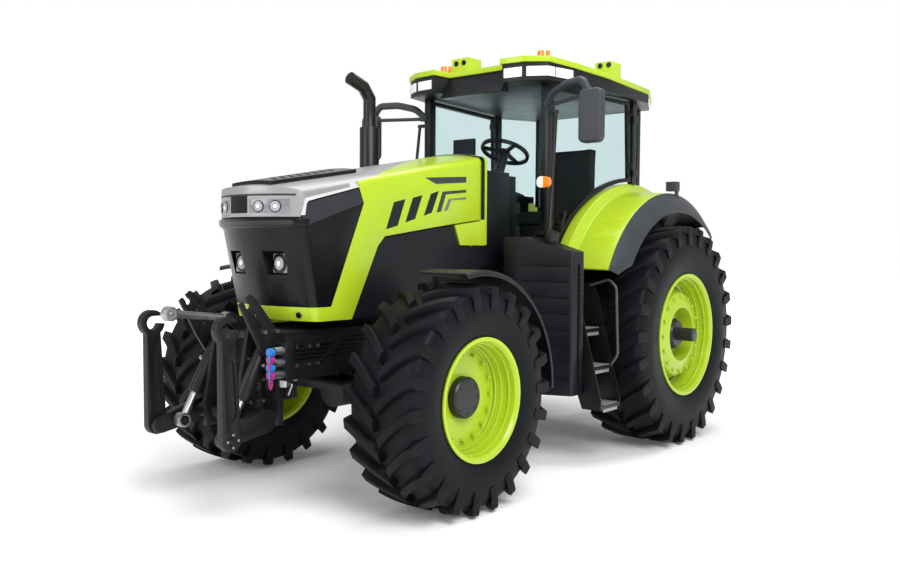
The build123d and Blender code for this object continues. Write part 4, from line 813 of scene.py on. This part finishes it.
# Roof: lime-green moulded cap on a black fascia with clear lamps, two receiver boxes with dark lenses, beacons.
# The turn lamps below it are clear on their inner half and amber on the outer.
dress("cab_roof", lime_paint, "green_paint", edge=0.01)
dress("roof_fascia", moulded_black, "black_plastic", edge=0.006)
dress("roof_lamps", clear_lens, "clear_lens", edge=0.004)
amber_lens = finish_material("amber_lens", (0.85, 0.2, 0.004), 0.16, spread=0.15, scale=40.0, grain_scale=160.0,
                             grain_depth=0.0004, coat=1.0, rough_spread=0.05)
turn_lens = amber_lens.copy()
amber_tree = amber_lens.node_tree
lamp_shader = amber_tree.nodes["Principled BSDF"]
amber_tone = lamp_shader.inputs["Base Color"].links[0].from_node
lamp_reach = sum(abs(corner.y) for corner in box_of("amber_lamps")) / 2
place = add_node(amber_tree, "ShaderNodeTexCoord")
part_of = add_node(amber_tree, "ShaderNodeSeparateXYZ")
inner = add_node(amber_tree, "ShaderNodeMath", {1: 0.0, 2: lamp_reach - 0.052}, operation="COMPARE")
under_roof = add_node(amber_tree, "ShaderNodeMath", {1: 2.5}, operation="LESS_THAN")
clear_half = add_node(amber_tree, "ShaderNodeMath", operation="MULTIPLY")
halves = add_node(amber_tree, "ShaderNodeMix", {"B": (0.75, 0.75, 0.76, 1.0)}, data_type="RGBA")
wire(amber_tree, (place, "Object", part_of, "Vector"), (part_of, "Y", inner, 0), (part_of, "Z", under_roof, 0),
     (inner, "Value", clear_half, 0), (under_roof, "Value", clear_half, 1),
     (clear_half, "Value", halves, "Factor"), (amber_tone, "Color", halves, "A"),
     (halves, "Result", lamp_shader, "Base Color"))
dress("amber_lamps", amber_lens, "amber_lens", edge=0.024, rounds=5)
roof_skin = surface_of(frame["nodes"]["cab_roof"].data)
RECEIVER_LEVEL = 3.16
lenses = []
for y in (-0.2, 0.7):
    for shift in (-0.04, 0.04):
        place, facing = seen_ahead(roof_skin, y + shift, RECEIVER_LEVEL)
        if place is not None:
            lenses.append(disc(place, facing, 0.022, 0.006))
add_trim("receiver_lenses", lenses, gloss_black, "black_plastic", "cab_roof")

# Rear fenders: painted steel with black moulded flares and mud liners, a work lamp on each. The tail lamps stand
# on their rear ends, red on the inner side and amber on the outer.
dress("rear_fenders", lime_paint, "green_paint", edge=0.008)
# A lighter grey than the black mouldings, used for the flares, mirrors and mirror arms: partly the plastic's own dark
# grey, partly a painted sky sheen
satin_grey = finish_material("satin_grey", (0.029, 0.0325, 0.039), 0.46, spread=0.15, scale=6.0, grain_scale=700.0,
                             grain_depth=0.0001, specular=0.35)
dress("fender_flares", satin_grey, "black_plastic", edge=0.006)
axle_z = sum(corner.z for corner in box_of("rim_rear_left")) / 2
LINER_START = 28.3
LINER_SWEEP = 99.4
LINER_STEPS = 40
LINER_OUTLINE = [(1.163, 1.086), (1.177, 0.772), (1.177, 0.676), (1.004, 0.676), (1.004, 0.679), (1.173, 0.679),
                 (1.173, 0.77), (1.159, 1.086)]


def fender_liners():
    # Black mud liner against the underside of each fender
    form = bmesh.new()
    for side in (1, -1):
        loops = []
        for k in range(LINER_STEPS + 1):
            angle = math.radians(LINER_START + LINER_SWEEP * k / LINER_STEPS)
            loops.append([
                form.verts.new((axle_x + r * math.cos(angle), side * y, axle_z + r * math.sin(angle)))
                for r, y in LINER_OUTLINE
            ])
        bridge(form, loops, True)
        form.faces.new(loops[0])
        form.faces.new(list(reversed(loops[-1])))
    bmesh.ops.recalc_face_normals(form, faces=form.faces)
    return shaded(form, "fender_liners")


TAIL_PLACE = [(-0.775, 0.825), (-0.70, 0.825), (-0.70, 0.943), (-0.742, 0.943)]
LENS_PLACE = [(-0.781, 0.835), (-0.771, 0.835), (-0.742, 0.933), (-0.752, 0.933)]
red_lens = finish_material("red_lens", (0.32, 0.004, 0.004), 0.16, spread=0.15, scale=40.0, grain_scale=160.0,
                           grain_depth=0.0004, coat=1.0, rough_spread=0.05)
for name, outline, ends, material, slot in (
        ("tail_lamps", TAIL_PLACE, (0.78, 1.02), moulded_black, "black_plastic"),
        ("tail_lenses", LENS_PLACE, (0.79, 0.92), red_lens, "amber_lens"),
        ("turn_lenses", LENS_PLACE, (0.925, 1.01), turn_lens, "amber_lens")):
    lamp = side_panel([(x, axle_z + z) for x, z in outline], *ends)
    add_trim(name, [lamp], material, slot, "rear_fenders")
add_piece("fender_liners", fender_liners(), moulded_black, "black_plastic", body_of_node("rear_fenders"))

# Fuel tank, battery box, steps and mirrors: black mouldings; the treads are pressed bright steel with raised
# grips, and a toothed bar runs down the tank's rear edge.
dress("side_boxes", moulded_black, "black_plastic", edge=0.008)
dress("cab_steps", frame_black, "black_frame", edge=0.003)
# The mirrors take the lighter grey, which carries a painted sky sheen
dress("mirrors", satin_grey, "black_plastic", edge=0.02)


def upright(near, far, low, high):
    return [(near, low), (far, low), (far, high), (near, high)]


box_low, box_high = box_of("side_boxes")
tank_rear = box_low.x - axle_x
teeth = studs(stud_grid, frame_black, Length=0.0, Width=0.72, Columns=1, Rows=19, Stud_radius=0.013, Height=0.026,
              Centre=(box_low.x + 0.06, box_high.y + 0.004, 1.12))
bar = side_panel(upright(tank_rear + 0.035, tank_rear + 0.085, 0.62, 1.52), box_high.y - 0.002,
                 box_high.y + 0.012, (1,))
cap_place = Vector((box_low.x + 0.16, box_high.y - 0.2, 1.705))
cap = disc(cap_place, Vector((0.1, 0.25, 1)).normalized(), 0.055, 0.06)
add_trim("tank_trim", [teeth, bar, cap], frame_black, "black_frame", "side_boxes")
ARM_PATH = ((1.20, 0.62, 2.74), (1.25, 0.70, 2.83), (1.30, 0.86, 2.872), (1.36, 1.03, 2.872), (1.377, 1.1, 2.76))
RAIL_PATH = ((0.957, 0.88, 1.35), (0.957, 1.05, 1.40), (0.957, 1.11, 1.34), (0.957, 1.13, 0.82),
             (0.957, 1.07, 0.74))
rail_grey = finish_material("rail_grey", (0.06, 0.062, 0.068), 0.35, spread=0.1, scale=20.0, grain_depth=0.00005)
for name, path, bend, radius, material, slot, node in (
        ("mirror_arms", ARM_PATH, 0.04, 0.03, satin_grey, "black_plastic", "mirrors"),
        ("step_rails", RAIL_PATH, 0.03, 0.011, rail_grey, "black_frame", "cab_steps")):
    bars = [tube(rounded_path([(axle_x + x, side * y, z) for x, y, z in path], bend), radius) for side in (1, -1)]
    add_trim(name, bars, material, slot, node)
tread_steel = finish_material("tread_steel", (0.34, 0.34, 0.35), 0.42, spread=0.25, scale=30.0, grain_scale=300.0,
                              grain_depth=0.0003, metallic=0.4)
step_low, step_high = box_of("cab_steps")
tread_rear = step_low.x - axle_x + 0.035
tread_front = step_low.x - axle_x + 0.245
treads = []
for side in (1, -1):
    for inset, z in ((0.075, 0.462), (0.15, 0.746), (0.245, 1.024)):
        y = step_high.y - inset
        middle = Vector((step_low.x + 0.14, side * (y - 0.002), z + 0.001))
        treads.append(studs(stud_grid, tread_steel, Length=0.2, Width=0.12, Columns=9, Rows=5, Stud_radius=0.009,
                            Height=0.008, Sides=8, Centre=middle, Turn=(0, 0, 0)))
        treads.append(studs(stud_grid, tread_steel, Length=0.0, Width=0.0, Columns=1, Rows=1, Stud_radius=0.09,
                            Height=0.003, Sides=4, Centre=middle, Turn=(0, 0, math.pi / 4)))
        treads.append(side_panel(upright(tread_rear, tread_front, z - 0.055, z + 0.006), y + 0.063, y + 0.069,
                                 (side,)))
add_trim("step_treads", treads, tread_steel, "bright_steel", "cab_steps")

# Stage: pale floor, soft studio light and the camera at the photograph's angle. The floor glows, dim near the middle
# as a painted soft shadow round the tractor and bright further out as painted light
FLOOR_REACH = 60.0
floor_mesh = bpy.data.meshes.new("floor")
floor_mesh.from_pydata([(FLOOR_REACH * x, FLOOR_REACH * y, 0) for x, y in ((-1, -1), (1, -1), (1, 1), (-1, 1))], [],
                       [(0, 1, 2, 3)])
floor = bpy.data.objects.new("floor", floor_mesh)
bpy.context.scene.collection.objects.link(floor)
floor_paper = finish_material("floor_paper", (0.9, 0.9, 0.9), 0.9, spread=0.01, scale=0.5, specular=0.0)
paper = floor_paper.node_tree
paper_shader = paper.nodes["Principled BSDF"]
# The floor glows though it is no lamp: its emission rises with distance from the middle, a painted shadow near the
# tractor and painted white light far off
paper_shader.inputs["Emission Color"].default_value = (1, 1, 1, 1)
place = add_node(paper, "ShaderNodeTexCoord")
spot = add_node(paper, "ShaderNodeVectorMath", operation="LENGTH")
painted_shadow_glow = add_node(paper, "ShaderNodeMapRange", {"From Min": 2.0, "From Max": 9.0, "To Min": 0.06, "To Max": 0.8},
                interpolation_type="SMOOTHSTEP")
wire(paper, (place, "Object", spot, 0), (spot, "Value", painted_shadow_glow, "Value"),
     (painted_shadow_glow, "Result", paper_shader, "Emission Strength"))
floor_mesh.materials.append(floor_paper)

world = bpy.data.worlds.new("studio")
bpy.context.scene.world = world
world.use_nodes = True
sky = world.node_tree.nodes["Background"]
sky.inputs["Color"].default_value = (1, 1, 1, 1)
seen = add_node(world.node_tree, "ShaderNodeLightPath")
strength = add_node(world.node_tree, "ShaderNodeMapRange", {"To Min": 0.62, "To Max": 1.0})
through = add_node(world.node_tree, "ShaderNodeMath", operation="MAXIMUM")
wire(world.node_tree, (seen, "Is Camera Ray", through, 0), (seen, "Is Transmission Ray", through, 1),
     (through, "Value", strength, "Value"), (strength, "Result", sky, "Strength"))
bpy.context.scene.view_settings.view_transform = "Standard"


def soft_box(name, place, target, size, power):
    lamp = bpy.data.lights.new(name, "AREA")
    lamp.shape = "RECTANGLE"
    lamp.size, lamp.size_y = size
    lamp.energy = power
    holder = bpy.data.objects.new(name, lamp)
    bpy.context.scene.collection.objects.link(holder)
    holder.location = place
    holder.rotation_mode = "QUATERNION"
    holder.rotation_quaternion = (Vector(target) - Vector(place)).to_track_quat("-Z", "Y")


soft_box("key_light", (4.0, 6.5, 6.5), (0.5, 0, 1.2), (5, 4), 620)
soft_box("nose_light", (8.5, -2.0, 4.5), (1.5, 0, 1.2), (4, 4), 200)
soft_box("top_light", (-1.0, 0.5, 8.0), (0.0, 0, 1.0), (6, 6), 420)

eye = Vector((5.667, 4.4397, 1.6246))
heading = math.radians(-140.506)
pitch = -0.0422
roll = 0.0069
camera_data = bpy.data.cameras.new("camera")
camera_data.sensor_width = 36.0
camera_data.lens = 35.377
camera = bpy.data.objects.new("camera", camera_data)
bpy.context.scene.collection.objects.link(camera)
camera.location = eye
camera.rotation_mode = "QUATERNION"
look = Vector((math.cos(heading) * math.cos(pitch), math.sin(heading) * math.cos(pitch), math.sin(pitch)))
camera.rotation_quaternion = look.to_track_quat("-Z", "Y") @ Quaternion((0, 0, 1), roll)
bpy.context.scene.camera = camera
